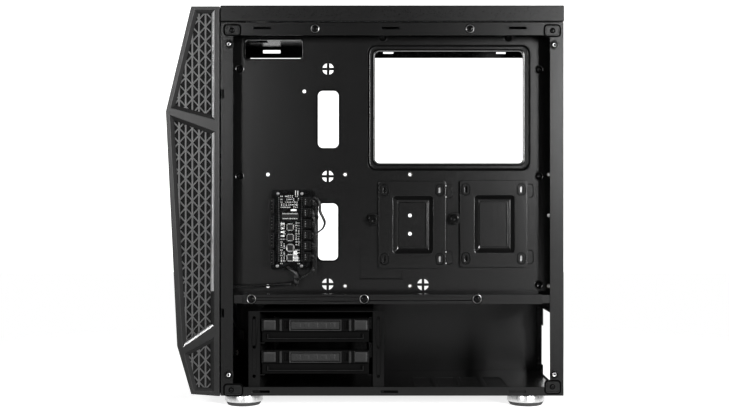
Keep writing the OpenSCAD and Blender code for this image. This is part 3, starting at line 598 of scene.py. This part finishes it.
def bright_rivets():
    """Open rivets, each in a pressed seat with painted shade in its hollow."""
    beads = bmesh.new()
    seats = bmesh.new()
    rims = bmesh.new()
    for box in islands("rivets"):
        at = Matrix.Translation(side_point(box[0].x, box)) @ FACE_X
        lathe_ring(beads, [(1.25, 0.2), (1.3, 1.3), (1.7, 1.4), (2.1, 1.2), (2.4, 0.6), (2.4, 0.2)], at)
        # flat near-black disc in the seat: painted shade of its hollow
        lathe_ring(seats, [(0.02, 0), (0.02, 0.22), (3.8, 0.22), (3.8, 0)], at)
        lathe_ring(rims, [(3.7, 0), (3.7, 0.3), (3.9, 0.42), (4.7, 0.36), (5.2, 0.06), (5.2, 0)], at)
    add_piece("rivet_rings", beads, "chassis", "screw_bright", ["rivets"])
    add_piece("rivet_seat_shade", seats, "chassis", "screw_bright", material="painted_shade_black")
    add_piece("rivet_rims", rims, "chassis", "steel_black", angle=25, material="top_plastic")


def corner_seats():
    """Corner plates with pressed edges, and a painted shadow line round each."""
    bm = bmesh.new()
    plates = bmesh.new()
    for a, b in islands("corner_brackets"):
        plate = [a.y / MM, a.z / MM, b.y / MM, b.z / MM, 3.2]
        thick = (b.x - a.x) / MM
        # thin near-black sheet 1.2 mm wider than the plate: painted shadow round its edges
        stepped(bm, plate, a.x, [(1.2, 0), (1.15, 0.06), (-0.5, 0.06), (-0.5, 0)])
        stepped(plates, plate, a.x, [(-0.5, 0), (-0.5, thick - 0.3), (-0.8, thick), (-1.7, thick),
                                     (-2.1, thick - 0.3)], closed=False)
    add_piece("corner_shadow_lines", bm, "chassis", "steel_black", material="painted_shade_black")
    add_piece("corner_plates", plates, "chassis", "steel_black", ["corner_brackets"], angle=25,
              smooth_flats=True)


side_screws()
other_screws()
bright_rivets()


# ---------------------------------------------------------------- pressed steel relief

TRAY_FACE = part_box("motherboard_tray")[1].x


def grown(b, d):
    """Rounded rectangle [low y, low z, high y, high z, radius] in mm, drawn out by d."""
    return [b[0] - d, b[1] - d, b[2] + d, b[3] + d, max(b[4] + d, 0.3)]


def mixed(a, b, t):
    return [u + (v - u) * t for u, v in zip(a, b)]


def loft(bm, levels, closed=True, arc=6):
    """Skin through rounded rectangles. Each level is (rectangle in mm, x in metres)."""
    loops = []
    for b, x in levels:
        y0, z0, y1, z1, r = b
        r = min(r, (y1 - y0) / 2 - 0.01, (z1 - z0) / 2 - 0.01)
        loop = []
        for cy, cz, start in ((y1 - r, z1 - r, 0), (y0 + r, z1 - r, 90), (y0 + r, z0 + r, 180),
                              (y1 - r, z0 + r, 270)):
            for k in range(arc + 1):
                a = math.radians(start + 90 * k / arc)
                loop.append(bm.verts.new((x, (cy + r * math.cos(a)) * MM, (cz + r * math.sin(a)) * MM)))
        loops.append(loop)
    pairs = list(zip(loops, loops[1:]))
    if closed:
        pairs.append((loops[-1], loops[0]))
    for a, b in pairs:
        for k in range(len(a)):
            n = (k + 1) % len(a)
            bm.faces.new((a[k], a[n], b[n], b[k]))
    if not closed:
        bm.faces.new(loops[0])
        bm.faces.new(loops[-1])


def stepped(bm, b, face, steps, closed=True):
    """Skin over one rounded rectangle. Each step is (how far it is drawn out, height on face) in mm."""
    loft(bm, [(grown(b, d), face + h * MM) for d, h in steps], closed)


# rounded rectangles, as for grown, and the brackets' middles
CPU_OUTER = [2.7, 260.4, 184.3, 400.3, 9]
CPU_OPEN = [11.2, 268.5, 175.8, 393.5, 5]
SLOTS = ([-52.5, 285.6, -29.4, 349.3, 5.6], [-52.3, 160.4, -30.2, 223.7, 5.6],
         [-133.4, 385.1, -69.9, 405.8, 3])
BRACKETS = {"front": (52.5, 200.2), "rear": (143.1, 201.0)}
# from a bracket's middle, in mm: the plate's edge, its hooks, and a 2.5 inch drive's holes
PLATE_Y, HOOK_Z, HOLE_Y, HOLE_Z = 37.35, 37, 30.86, 38.3


def tray_relief():
    """Frames pressed round the openings, seats for the brackets' hooks and screw bosses, with painted shade
    in the frame's groove and the bosses' hollows.
    """
    steel = bmesh.new()
    dark = bmesh.new()

    def frame_section(bm, steps):
        loft(bm, [(mixed(CPU_OUTER, CPU_OPEN, t), TRAY_FACE + h * MM) for t, h in steps])

    frame_section(steel, [(-0.08, 0), (-0.06, 0.35), (-0.02, 0.5), (0.02, 0.35), (0.03, 0)])
    # near-black band in the frame's groove: painted shade
    frame_section(dark, [(0.03, 0), (0.03, 0.05), (0.24, 0.05), (0.24, 0)])
    frame_section(steel, [(0.2, 0), (0.21, 0.7), (0.24, 0.9), (0.28, 0.6), (0.34, 0.42), (0.66, 0.4),
                          (0.7, 1.2), (0.8, 2.6), (0.92, 2.8), (0.98, 2.6), (0.998, 2.2), (0.998, 0)])
    for b in SLOTS:
        stepped(steel, b, TRAY_FACE, [(2.0, 0), (1.8, 0.25), (1.3, 0.8), (0.7, 1.15), (0.2, 1.1), (0.02, 0.7),
                                      (0.02, 0)])
    for cy, cz in BRACKETS.values():
        for side in (-1, 1):
            y, z = cy + PLATE_Y, cz + HOOK_Z * side
            stepped(steel, [y - 2, z - 6.8, y + 6.6, z + 6.8, 2.6], TRAY_FACE,
                    [(1.1, 0), (0.9, 0.5), (0.6, 0.78), (0.2, 0.7), (0.02, 0.3), (0.02, 0)])
    for y, z in ((-139.9, 373.7), (-139.9, 254.1), (19.8, 408.5), (159.8, 408.5), (194.2, 372.9), (194, 254),
                 (193.6, 133.1)):
        at = Matrix.Translation((TRAY_FACE, y * MM, z * MM)) @ FACE_X
        lathe_ring(steel, [(5.1, 0), (4.9, 0.35), (4.4, 0.55), (3.9, 0.35), (3.7, 0.08), (3.7, 0)], at)
        # near-black disc inside each boss ring: painted shade of its hollow
        lathe_ring(dark, [(3.8, 0), (3.8, 0.06), (0.3, 0.06), (0.3, 0)], at)
        lathe_ring(steel, [(1.9, 0.08), (1.85, 0.6), (1.6, 0.88), (1.2, 0.8), (1.0, 0.3), (1.0, 0.08)], at)
    for line in ([-5.7, 138.9, -4.3, 175, 0.6], [40.8, 138.9, 42.2, 149, 0.6],
                 [-5.7, 138.9, 42.2, 140.3, 0.6]):
        stepped(steel, line, TRAY_FACE, [(0, 0), (-0.15, 0.45), (-0.45, 0.62)], closed=False)
    add_piece("tray_frames", steel, "chassis", "steel_black", ["tray_embossing"], angle=25, smooth_flats=True)
    add_piece("tray_groove_shade", dark, "chassis", "steel_black", material="painted_shade_black")


def painted_shadow_walls(name, body, pressed, middle, top):
    """Near-black matt skin on a recess's rear and upper walls: painted shadow for the wide dark band that
    shows there.
    """
    bmesh.ops.recalc_face_normals(pressed, faces=pressed.faces)
    skin = bmesh.new()
    for face in pressed.faces:
        away = face.calc_center_median() - Vector((top, *middle))
        turned = face.normal.x > 0.2 and (face.normal.y < -0.15 or face.normal.z < -0.15)
        sunk = -2.4 * MM < away.x < -0.2 * MM
        if turned and sunk and abs(away.y) < 23 * MM and abs(away.z) < 31.8 * MM:
            skin.faces.new([skin.verts.new(v.co + face.normal * 0.05 * MM) for v in face.verts])
    bmesh.ops.remove_doubles(skin, verts=skin.verts, dist=0.03 * MM)
    add_piece(name, skin, body, "steel_black", material="matt_plastic_and_shade")


def drive_bracket(word):
    """Plate with a stepped recess, four slotted bosses, a screw tab and two hooks."""
    cy, cz = BRACKETS[word]
    node = "ssd_bracket_" + word
    top = (TRAY_FACE / MM + 4.5) * MM
    plate = [cy - PLATE_Y, cz - 48.3, cy + PLATE_Y, cz + 48.3, 2.5]
    recess = [cy - 21.2, cz - 32.2, cy + 23.2, cz + 31.6, 3.5]
    inner = [cy - 15, cz - 25.2, cy + 15.4, cz + 24.4, 1.5]
    bm = bmesh.new()
    steps = [(plate, 0, -1.0), (plate, 0, -0.45), (plate, -0.2, -0.12), (plate, -0.6, 0), (recess, 0.7, 0),
             (recess, 0.2, -0.15), (recess, -0.3, -0.6), (recess, -4.2, -2.5), (inner, 1.0, -2.9),
             (inner, 0.8, -2.55), (inner, 0.3, -2.5), (inner, 0, -2.8), (inner, 0, -3.9)]
    loft(bm, [(grown(b, d), top + h * MM) for b, d, h in steps])
    # painted shadow on the recess's rear and upper walls
    painted_shadow_walls(node + "_painted_shadow_walls", "bracket_" + word, bm, (cy * MM, cz * MM), top)
    cutters = bmesh.new()
    bosses = bmesh.new()
    for u in (-1, 1):
        for v in (-1, 1):
            y, z = cy + HOLE_Y * u, cz + HOLE_Z * v
            slot = [y - 1.15, z - 3.2, y + 1.15, z + 3.2, 1.1]
            loft(cutters, [(slot, top - 3 * MM), (slot, top + 3 * MM)], closed=False)
            outer = [y - 5.2, z - 7.1, y + 5.2, z + 7.1, 5.15]
            rise = [(outer, 0, -0.05), (outer, -0.15, 0.9), (outer, -0.45, 1.3), (outer, -0.8, 1.3),
                    (outer, -1.0, 0.9), (outer, -1.4, 0.4), (slot, 0.9, 0.39), (slot, 0.5, 0.7),
                    (slot, 0.2, 0.65), (slot, 0.02, 0.3), (slot, 0.02, -0.05)]
            loft(bosses, [(grown(b, d), top + h * MM) for b, d, h in rise])
    shell = add_piece(node + "_plate", bm, "bracket_" + word, "steel_black", [node], angle=25)
    bmesh.ops.recalc_face_normals(cutters, faces=cutters.faces)
    cut_out(shell, made_object(node + "_slots", cutters))
    shade(shell.data, 25)
    keep_flats(shell)
    tab = [cy - 50, cz - 1, cy - 36.3, cz + 12.6, 5.5]
    hole = [cy - 46.2, cz + 3.6, cy - 41.8, cz + 8.0, 2.2]
    loft(bosses, [(tab, top - MM), (tab, top - 0.4 * MM), (grown(tab, -0.4), top), (grown(hole, 3.2), top),
                  (grown(hole, 2.9), top - 0.25 * MM), (grown(hole, 0.3), top - 0.25 * MM),
                  (hole, top - 0.4 * MM), (hole, top - MM)])
    tabs = bmesh.new()
    for side in (-1, 1):
        z = (cz + HOOK_Z * side) * MM
        add_box(bosses, (top - 6.4 * MM, (cy + 34.35) * MM, z - 6 * MM),
                (top - 0.9 * MM, (cy + 35.35) * MM, z + 6 * MM))
        z = (cz + HOLE_Z * side) * MM
        add_box(tabs, (top - 1.9 * MM, (cy + 28.9) * MM, z - 5 * MM),
                (top - 1.3 * MM, (cy + 32.6) * MM, z + 5 * MM))
    add_piece(node + "_hook_tabs", tabs, "bracket_" + word, "steel_black", bevel=0.2 * MM,
              material="dull_metal")
    add_piece(node + "_bosses", bosses, "bracket_" + word, "steel_black", angle=25, smooth_flats=True)


corner_seats()
tray_relief()
for bracket in BRACKETS:
    drive_bracket(bracket)


# ---------------------------------------------------------------- bezel windows and trim

WINDOWS = {
    "upper": [(-185.7, 434.9), (-164.0, 434.9), (-164.2, 315.5), (-211.9, 328.1)],
    "middle": [(-212.8, 319.9), (-164.2, 301.9), (-165.1, 128), (-165.2, 90.1), (-198.7, 66.7)],
    "lower": [(-197.1, 59.7), (-165.4, 77.0), (-165.2, 18.4), (-186.8, 19.2)],
}
SLOPE = 3.8 * MM
SILVER_EDGES = {("upper", 1), ("middle", 1), ("middle", 3)}


def inset(points, distance):
    """Convex outline drawn in by distance. Points are 2D vectors in clockwise order."""
    count = len(points)
    lines = []
    centre = sum(points, Vector((0, 0))) / count
    for i in range(count):
        a, b = points[i], points[(i + 1) % count]
        along = (b - a).normalized()
        inward = Vector((-along.y, along.x))
        if inward.dot(centre - a) < 0:
            inward = -inward
        lines.append((a + inward * distance, along))
    out = []
    for i in range(count):
        (p, u), (q, v) = lines[i - 1], lines[i]
        t = ((q.x - p.x) * v.y - (q.y - p.y) * v.x) / (u.x * v.y - u.y * v.x)
        out.append(p + u * t)
    return out


def slope_section(silver):
    """(share of the slope, share of the drop) from the outer edge to the inner one."""
    if silver:
        return [(0.0, 0.0), (0.42, 0.3), (0.47, 0.42), (0.53, 0.42), (0.58, 0.4), (1.0, 1.0)]
    return [(0.0, 0.0), (0.5, 0.35), (1.0, 1.0)]


def window_slopes():
    """Sloped walls of the bezel's windows, the silver strips among them."""
    lattice_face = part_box("lattice_right")[1].x
    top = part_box("bezel_shell")[1].x - 0.15 * MM
    for side, word in ((1, "right"), (-1, "left")):
        dark = bmesh.new()
        bright = bmesh.new()
        for window, corners in WINDOWS.items():
            outer = [Vector(c) * MM for c in corners]
            inner = inset(outer, SLOPE)
            for i in range(len(corners)):
                silver = (window, i) in SILVER_EDGES
                bm = bright if silver else dark
                section = slope_section(silver)
                ends = []
                after = (i + 1) % len(corners)
                for a, b in ((outer[i], inner[i]), (outer[after], inner[after])):
                    row = []
                    for share, drop in section:
                        p = a.lerp(b, share)
                        row.append(bm.verts.new((side * (top + (lattice_face - top) * drop), p.x, p.y)))
                    row.append(bm.verts.new((side * lattice_face, a.x, a.y)))
                    ends.append(row)
                for k in range(len(ends[0])):
                    n = (k + 1) % len(ends[0])
                    bm.faces.new((ends[0][k], ends[0][n], ends[1][n], ends[1][k]))
                bm.faces.new(ends[0])
                bm.faces.new(ends[1])
        add_piece("window_slopes_" + word, dark, "bezel", "cover_plastic", angle=12,
                  material="slope")
        trim = add_piece("silver_strips_" + word, bright, "bezel", "silver_trim", angle=12)
        if side > 0:
            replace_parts(trim, "bezel_trim")


window_slopes()


# ---------------------------------------------------------------- hub

def hub_details():
    """Small parts, pins, pads and sockets on the hub's circuit board."""
    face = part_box("hub_board")[1].x
    draw = random.Random(5)
    small = bmesh.new()
    ends = bmesh.new()
    pins = bmesh.new()

    def block(bm, y, z, wide, tall, height):
        """Block on the board round (y, z), in mm."""
        add_box(bm, (face, (y - wide / 2) * MM, (z - tall / 2) * MM),
                (face + height * MM, (y + wide / 2) * MM, (z + tall / 2) * MM))

    def resistor(y, z, along_z, length, width):
        half_l, half_w = length / 2 * MM, width / 2 * MM
        for s in (-1, 1):
            shift = s * half_l * 0.72
            dy, dz = (0, shift) if along_z else (shift, 0)
            wy, wz = (half_w, half_l * 0.3) if along_z else (half_l * 0.3, half_w)
            add_box(ends, (face, y + dy - wy, z + dz - wz), (face + 0.55 * MM, y + dy + wy, z + dz + wz))
        wy, wz = (half_w * 0.95, half_l * 0.5) if along_z else (half_l * 0.5, half_w * 0.95)
        add_box(small, (face, y - wy, z - wz), (face + 0.6 * MM, y + wy, z + wz))

    # two long rows of soldered header pins with a pad under each
    for y in (-95.5, -70.0):
        for k in range(36):
            z = (160 + 2 * k) * MM
            lathe(pins, [(0.85 * MM, 0), (0.7 * MM, 0.3 * MM), (0.35 * MM, 0.8 * MM), (0, 1.1 * MM)],
                  Matrix.Translation((face, y * MM, z)) @ FACE_X, 12)
    # square controllers with legs on four sides, and one wide driver
    chip_y, driver_z = -82.9, 209.6
    for z in (163.5, 174.5, 186, 197.5):
        block(small, chip_y, z, 6.1, 6.1, 1.1)
        for k in range(7):
            step = (k - 3) * 0.82
            for s in (-3.5, 3.5):
                block(ends, chip_y + step, z + s, 0.36, 1.0, 0.3)
                block(ends, chip_y + s, z + step, 1.0, 0.36, 0.3)
    block(small, chip_y, driver_z, 18.4, 4.2, 1.3)
    for k in range(16):
        for s in (-2.7, 2.7):
            block(ends, -91 + k * 1.08, driver_z + s, 0.44, 1.2, 0.35)
    # rows of small parts in the free bands
    for z in (231.5, 228.2, 225.1, 222.2, 219.4):
        y = -92.5
        while y < -73.5:
            if draw.random() < 0.84:
                resistor(y * MM, z * MM, draw.random() < 0.4, draw.uniform(1.5, 2.4), draw.uniform(0.9, 1.3))
            y += draw.uniform(2.2, 3.2)
    for z in [157 + 3 * k for k in range(16)]:
        for y in (-92.6, -89.6, -76.2, -73.4):
            if draw.random() < 0.74:
                resistor(y * MM, z * MM, draw.random() < 0.35, draw.uniform(1.5, 2.3), draw.uniform(0.9, 1.3))
    # bright pads, pale socket, crystal and two tall strips
    for z in (201.2, 196.2, 192, 187.6):
        block(ends, -91.3, z, 4.2, 1.6, 0.5)
    block(ends, -79, 216.25, 6.4, 1.9, 1.5)
    block(ends, -77.4, 169.4, 3.6, 3.6, 1.1)
    for y in (-77, -74.4):
        block(ends, y, 235.25, 0.6, 5.3, 0.6)
    add_piece("hub_small_parts", small, "chassis", "component", ["hub_chips"], bevel=0.08 * MM)
    # pad field beside the crystal, and a round coil
    for j in range(6):
        for k in range(4):
            if draw.random() < 0.8:
                block(ends, -79.2 + 1.5 * k, 160.6 + 1.6 * j, 1.0, 1.1, 0.9)
    lathe_ring(pins, [(3.9, 0), (3.9, 1.1), (4.4, 1.3), (4.8, 1.1), (4.8, 0)],
               Matrix.Translation((face, chip_y * MM, 174.5 * MM)) @ FACE_X)
    add_piece("hub_solder_ends", ends, "chassis", "screw_bright", bevel=0.08 * MM, material="solder")
    add_piece("hub_pin_rows", pins, "chassis", "screw_bright", material="dull_metal")


def hub_sockets():
    """Open-topped pin headers on the left and keyed plugs on the right."""
    shells = bmesh.new()
    inside = bmesh.new()
    for a, b in islands("hub_headers"):
        wide = (a.y + b.y) / 2 > -80 * MM
        t = 0.7 * MM
        add_box(shells, (a.x, a.y, a.z), (b.x, a.y + t, b.z))
        add_box(shells, (a.x, b.y - t, a.z), (b.x, b.y, b.z))
        add_box(shells, (a.x, a.y + t, a.z), (b.x, b.y - t, a.z + t))
        add_box(shells, (a.x, a.y + t, b.z - t), (b.x, b.y - t, b.z))
        add_box(shells, (a.x, a.y + t, a.z + t), (a.x + 1.2 * MM, b.y - t, b.z - t))
        if not wide:
            for k in range(4):
                z = a.z + (b.z - a.z) * (k + 0.7) / 4.4
                add_box(inside, (a.x + MM, (a.y + b.y) / 2 - 0.3 * MM, z - 0.3 * MM),
                        (b.x - 0.6 * MM, (a.y + b.y) / 2 + 0.3 * MM, z + 0.3 * MM))
    add_piece("hub_header_shells", shells, "chassis", "component", ["hub_headers"], bevel=0.12 * MM)
    add_piece("hub_header_pins", inside, "chassis", "brass", bevel=0.08 * MM, material="dull_metal")
    plugs = bmesh.new()
    contacts = bmesh.new()
    for a, b in islands("hub_plugs"):
        t = 1.1 * MM
        floor = b.x - 2.4 * MM
        add_box(plugs, a, (floor, b.y, b.z))
        add_box(plugs, (floor, a.y, a.z), (b.x, b.y, a.z + t))
        add_box(plugs, (floor, a.y, b.z - t), (b.x, b.y, b.z))
        for y in (a.y, (a.y + b.y) / 2 - t / 2, b.y - t):
            add_box(plugs, (floor, y, a.z + t), (b.x - 0.3 * MM, y + t, b.z - t))
        for k in range(3):
            z = a.z + (b.z - a.z) * (k + 0.75) / 3.5
            add_box(plugs, (b.x - 1.4 * MM, b.y - 0.4 * MM, z - 0.9 * MM),
                    (b.x - 0.2 * MM, b.y + 0.5 * MM, z + 0.9 * MM))
            add_box(contacts, (floor, a.y + 1.5 * MM, z - 0.35 * MM),
                    (floor + 0.7 * MM, a.y + 2.6 * MM, z + 0.35 * MM))
    add_piece("hub_plug_bodies", plugs, "chassis", "component", ["hub_plugs"], bevel=0.2 * MM,
              material="plug_plastic")
    add_piece("hub_plug_contacts", contacts, "chassis", "component", material="dull_metal")


hub_details()
hub_sockets()


# ---------------------------------------------------------------- leads

# routes in mm, each point (x, y, z)
LEAD_FRONT = [(87.2, -86, 154), (87.4, -81, 150), (87, -76.5, 146), (86, -74, 141), (85.3, -76, 136.8),
              (84.5, -84, 134.6), (84, -98, 133.2), (84, -112, 132.4), (85, -126, 132), (87, -138, 131.6),
              (88, -148, 131.4), (88, -156, 131.4)]
LEAD_LOOP = [(93, -62, 228), (95, -56, 230), (96, -51, 227), (96, -49.4, 221), (96, -49.2, 214.5),
             (95.4, -46.4, 208.5), (94.6, -44.3, 202.3), (93.6, -46.4, 196.4), (92.6, -51, 192.5),
             (92, -55, 190)]
LEAD_BUNDLE = [(93, -59.5, 216), (93.4, -56.4, 208), (93, -55, 198), (92.4, -54.8, 187), (91.8, -54.8, 176),
               (91.2, -55, 166), (90.4, -56, 156.5), (89.4, -59, 149.5), (88.4, -64, 145), (87.4, -70, 141.5),
               (86.2, -76, 137.6), (85.2, -81, 135.4)]


def wire_group(name, node, route, count, wire, spread, seed):
    """Thin wires that wander along the lead's route."""
    draw = random.Random(seed)
    bm = bmesh.new()
    core = [Vector(p) * MM for p in route]
    for i in range(count):
        phase = 2 * math.pi * i / count
        radius = spread * (0.35 if count > 4 and i % 3 == 0 else 1.0)
        points = []
        for k, p in enumerate(core):
            a = phase + 0.35 * k + draw.uniform(-0.35, 0.35)
            points.append(p + Vector((math.sin(a), math.cos(a) * 0.8, math.cos(a) * 0.6)) * radius)
        sweep(bm, smooth_route(points), wire)
    add_piece(name, bm, "chassis", "lead", [node], angle=60)


def plug_wires():
    """Short wires from each plug to the bundle."""
    draw = random.Random(8)
    bm = bmesh.new()
    for a, b in islands("hub_plugs"):
        middle = (a.z + b.z) / 2
        for k in range(3):
            z = a.z + (b.z - a.z) * (k + 0.75) / 3.5
            start = Vector((b.x - 0.9 * MM, b.y + 0.3 * MM, z))
            out = start + Vector((1.2 * MM, 2.6 * MM, draw.uniform(-0.6, 0.6) * MM))
            swell = draw.uniform(0, 4.5) * MM if middle > 0.21 else 0
            bend = Vector((93 * MM, -54.8 * MM + draw.uniform(-1, 1) * MM + swell,
                           middle - draw.uniform(3, 8) * MM))
            join = Vector((91 * MM, -54.8 * MM + draw.uniform(-1.2, 1.2) * MM,
                           middle - draw.uniform(16, 24) * MM))
            end = Vector((90 * MM, -56.6 * MM + draw.uniform(-0.8, 0.8) * MM,
                          max(middle - 36 * MM, 152 * MM)))
            sweep(bm, smooth_route([start, out, bend, join, end]), 0.6 * MM)
    add_piece("plug_wires", bm, "chassis", "lead", angle=60)


wire_group("front_wires", "lead_front", LEAD_FRONT, 5, 0.75 * MM, 1.15 * MM, 21)
wire_group("loop_wires", "lead_loop", LEAD_LOOP, 4, 0.85 * MM, 0.8 * MM, 22)
wire_group("bundle_wires", "lead_bundle", LEAD_BUNDLE, 7, 0.65 * MM, 1.5 * MM, 23)
plug_wires()


# ---------------------------------------------------------------- fans

def rotor(node, body):
    """Domed hub and curved blades that stay inside the CAD rotor's cylinder."""
    low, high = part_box(node)
    centre = (low + high) / 2
    depth = high.y - low.y
    bm = bmesh.new()
    hub_r = 20 * MM
    turn = Matrix.Translation((centre.x, low.y, centre.z)) @ Matrix.Rotation(math.radians(-90), 4, "X")
    lathe(bm, [(0, 0.4 * MM), (hub_r * 0.8, 0.2 * MM), (hub_r * 0.95, 1.2 * MM), (hub_r, 3 * MM),
               (hub_r, depth - 0.6 * MM), (hub_r * 0.9, depth), (0, depth)], turn, 64)
    blades, spans, chords = 9, 9, 8
    tip_r = 55.3 * MM
    for blade in range(blades):
        base = 2 * math.pi * blade / blades
        sheets = []
        for lift in (-0.55 * MM, 0.55 * MM):
            grid = []
            for i in range(spans + 1):
                r = (hub_r - MM) + (tip_r - hub_r + MM) * i / spans
                lead = 0.28 * (i / spans) ** 1.5
                width = 0.62 - 0.17 * i / spans
                row = []
                for j in range(chords + 1):
                    t = j / chords
                    a = base + lead + width * (t - 0.5)
                    h = depth * (0.12 + 0.76 * t) + 1.6 * MM * math.sin(math.pi * t)
                    thin = lift * (0.35 + 0.65 * math.sin(math.pi * min(max(t, 0.06), 0.94)))
                    row.append(bm.verts.new(turn @ Vector((r * math.cos(a), r * math.sin(a),
                                                           min(max(h + thin, 0.3 * MM), depth - 0.3 * MM)))))
                grid.append(row)
            sheets.append(grid)
        under, over = sheets
        for i in range(spans):
            for j in range(chords):
                bm.faces.new((under[i][j], under[i][j + 1], under[i + 1][j + 1], under[i + 1][j]))
                bm.faces.new((over[i][j], over[i + 1][j], over[i + 1][j + 1], over[i][j + 1]))
        for i in range(spans):
            for j in (0, chords):
                bm.faces.new((under[i][j], under[i + 1][j], over[i + 1][j], over[i][j]))
        for j in range(chords):
            for i in (0, spans):
                bm.faces.new((under[i][j], under[i][j + 1], over[i][j + 1], over[i][j]))
    add_piece(node + "_blades", bm, body, "rotor_plastic", [node], angle=40)


for place in ("top", "middle", "bottom"):
    rotor("fan_rotor_" + place, "fan_" + place)


# ---------------------------------------------------------------- feet

def feet():
    """Silver shells with a stepped rim, over rubber soles."""
    shells = bmesh.new()
    pads = bmesh.new()
    r = 21
    # (how far in from the rim, height), in mm
    shell = [(r, 5.2), (1.6, 5.2), (1.5, 4.3), (0.6, 4.3), (0, 5.1), (0, 11.9), (0.25, 12.4), (0.9, 12.9),
             (r, 12.9)]
    pad = [(r, 0.5), (9, 0.5), (8.6, 0), (4.2, 0), (3.2, 0.35), (1.5, 3.2), (1.5, 4.2), (1.7, 5.1), (r, 5.1)]
    for a, b in islands("foot_shells"):
        at = Matrix.Translation(((a.x + b.x) / 2, (a.y + b.y) / 2, 0))
        for bm, profile in ((shells, shell), (pads, pad)):
            lathe(bm, [((r - inward) * MM, h * MM) for inward, h in profile], at, 72)
    add_piece("foot_rings", shells, "chassis", "silver_trim", ["foot_shells"])
    add_piece("foot_soles", pads, "chassis", "rubber", ["foot_pads"])


feet()


# ---------------------------------------------------------------- dust meshes

def mesh_sheet(name, node, axis, body, pitch=2.0 * MM, thread=0.32 * MM):
    """Crossed threads that fill a filter frame. axis is the frame's thin direction."""
    low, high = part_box(node)
    mid = (low[axis] + high[axis]) / 2
    u, v = [i for i in range(3) if i != axis]
    bm = bmesh.new()
    for a, b, lift in ((u, v, 0.12 * MM), (v, u, -0.12 * MM)):
        count = int((high[a] - low[a] - 2 * MM) / pitch)
        for k in range(1, count):
            at = low[a] + MM + k * pitch
            corner_low, corner_high = [0, 0, 0], [0, 0, 0]
            corner_low[a], corner_high[a] = at - thread / 2, at + thread / 2
            corner_low[b], corner_high[b] = low[b] + MM, high[b] - MM
            corner_low[axis], corner_high[axis] = mid + lift - thread / 3, mid + lift + thread / 3
            add_box(bm, corner_low, corner_high)
    add_piece(name, bm, body, "filter_mesh")


mesh_sheet("top_filter_mesh", "top_filter", 2, "dust_filter_top")
mesh_sheet("front_filter_mesh", "front_filter", 1, "bezel")
mesh_sheet("psu_filter_mesh", "psu_filter", 2, "dust_filter_psu")


# ---------------------------------------------------------------- drive tray faces

def tray_face(word):
    """Rounded grips, ribs, framed name plate without a name, and the lip's outline."""
    node = "hdd_tray_" + word
    low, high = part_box(node)
    base = high.x / MM - 1.8
    middle = (low.y + high.y) / 2 / MM
    z = low.z / MM + 12
    bm = bmesh.new()

    def pad(y0, z0, y1, z1, steps, closed=False):
        """steps are (how far it is drawn in, height on base)."""
        loft(bm, [(grown([y0, z0, y1, z1, 0.7], -d), (base + h) * MM) for d, h in steps], closed)

    soft = [(0, -0.4), (0.1, 0.5), (0.5, 0.95), (1.6, 1.3), (3.2, 1.5)]
    for side in (-1, 1):
        for inner, outer, steps in ((42.5, 58.2, soft), (36.6, 39.6, [(0, -0.4), (0.15, 1.2), (0.6, 1.6)]),
                                    (58.3, 58.9, [(0, -0.4), (0.1, 1.3), (0.25, 1.4)])):
            ys = sorted((middle + side * inner, middle + side * outer))
            pad(ys[0], z + 0.4, ys[1], z + 13.6, steps)
    pad(middle - 28.8, z + 0.6, middle + 28.8, z + 13.4,
        [(0, -0.4), (0.1, 1.8), (0.5, 2.15), (1.0, 2.15), (1.4, 1.9), (1.5, -0.4)], True)
    pad(middle - 26.6, z + 2.8, middle + 26.6, z + 11.2, [(0, -0.4), (0.1, 1.85), (0.2, 1.95)])
    for k in range(-2, 3):
        y = middle + 9.5 * k
        pad(y - 2.9, z + 4.2, y + 2.9, z + 9.8, [(0, -0.4), (0.3, 2.15), (0.9, 2.4)])
    for y0, y1, z0, z1 in ((-53, 53, -8.4, -7.6), (-53, -52.2, -8.4, -3), (52.2, 53, -8.4, -3)):
        stepped(bm, [middle + y0, z + z0, middle + y1, z + z1, 0.3], base * MM,
                [(0, -4.2), (-0.1, -0.9), (-0.3, -0.7)], closed=False)
    add_piece(node + "_relief", bm, node_body[node], "plastic_black", angle=30, smooth_flats=True)


for level in ("upper", "lower"):
    tray_face(level)


# ---------------------------------------------------------------- carried-over nodes

stood_for = {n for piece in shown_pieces() for n in piece.get("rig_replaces", [])}

SOFT_EDGES = {"tray_rail": 0.45 * MM, "top_cover": 0.8 * MM, "bezel_shell": 0.5 * MM,
              "front_plate": 0.7 * MM}

FINISHES = {"lattice_right": "lattice", "lattice_left": "lattice", "drive_cage": "cage_steel",
            "top_cover": "top_plastic", "hdd_tray_upper": "matt_plastic_and_shade",
            "hdd_tray_lower": "matt_plastic_and_shade", "standoffs": "aged_brass"}

for cad_node in nodes:
    if cad_node not in stood_for:
        sheet = cad_node in ("motherboard_tray", "tray_front", "tray_slots")
        refined(cad_node, 0 if sheet else SOFT_EDGES.get(cad_node, 0.3 * MM),
                FINISHES.get(cad_node), 8 if sheet else 35)
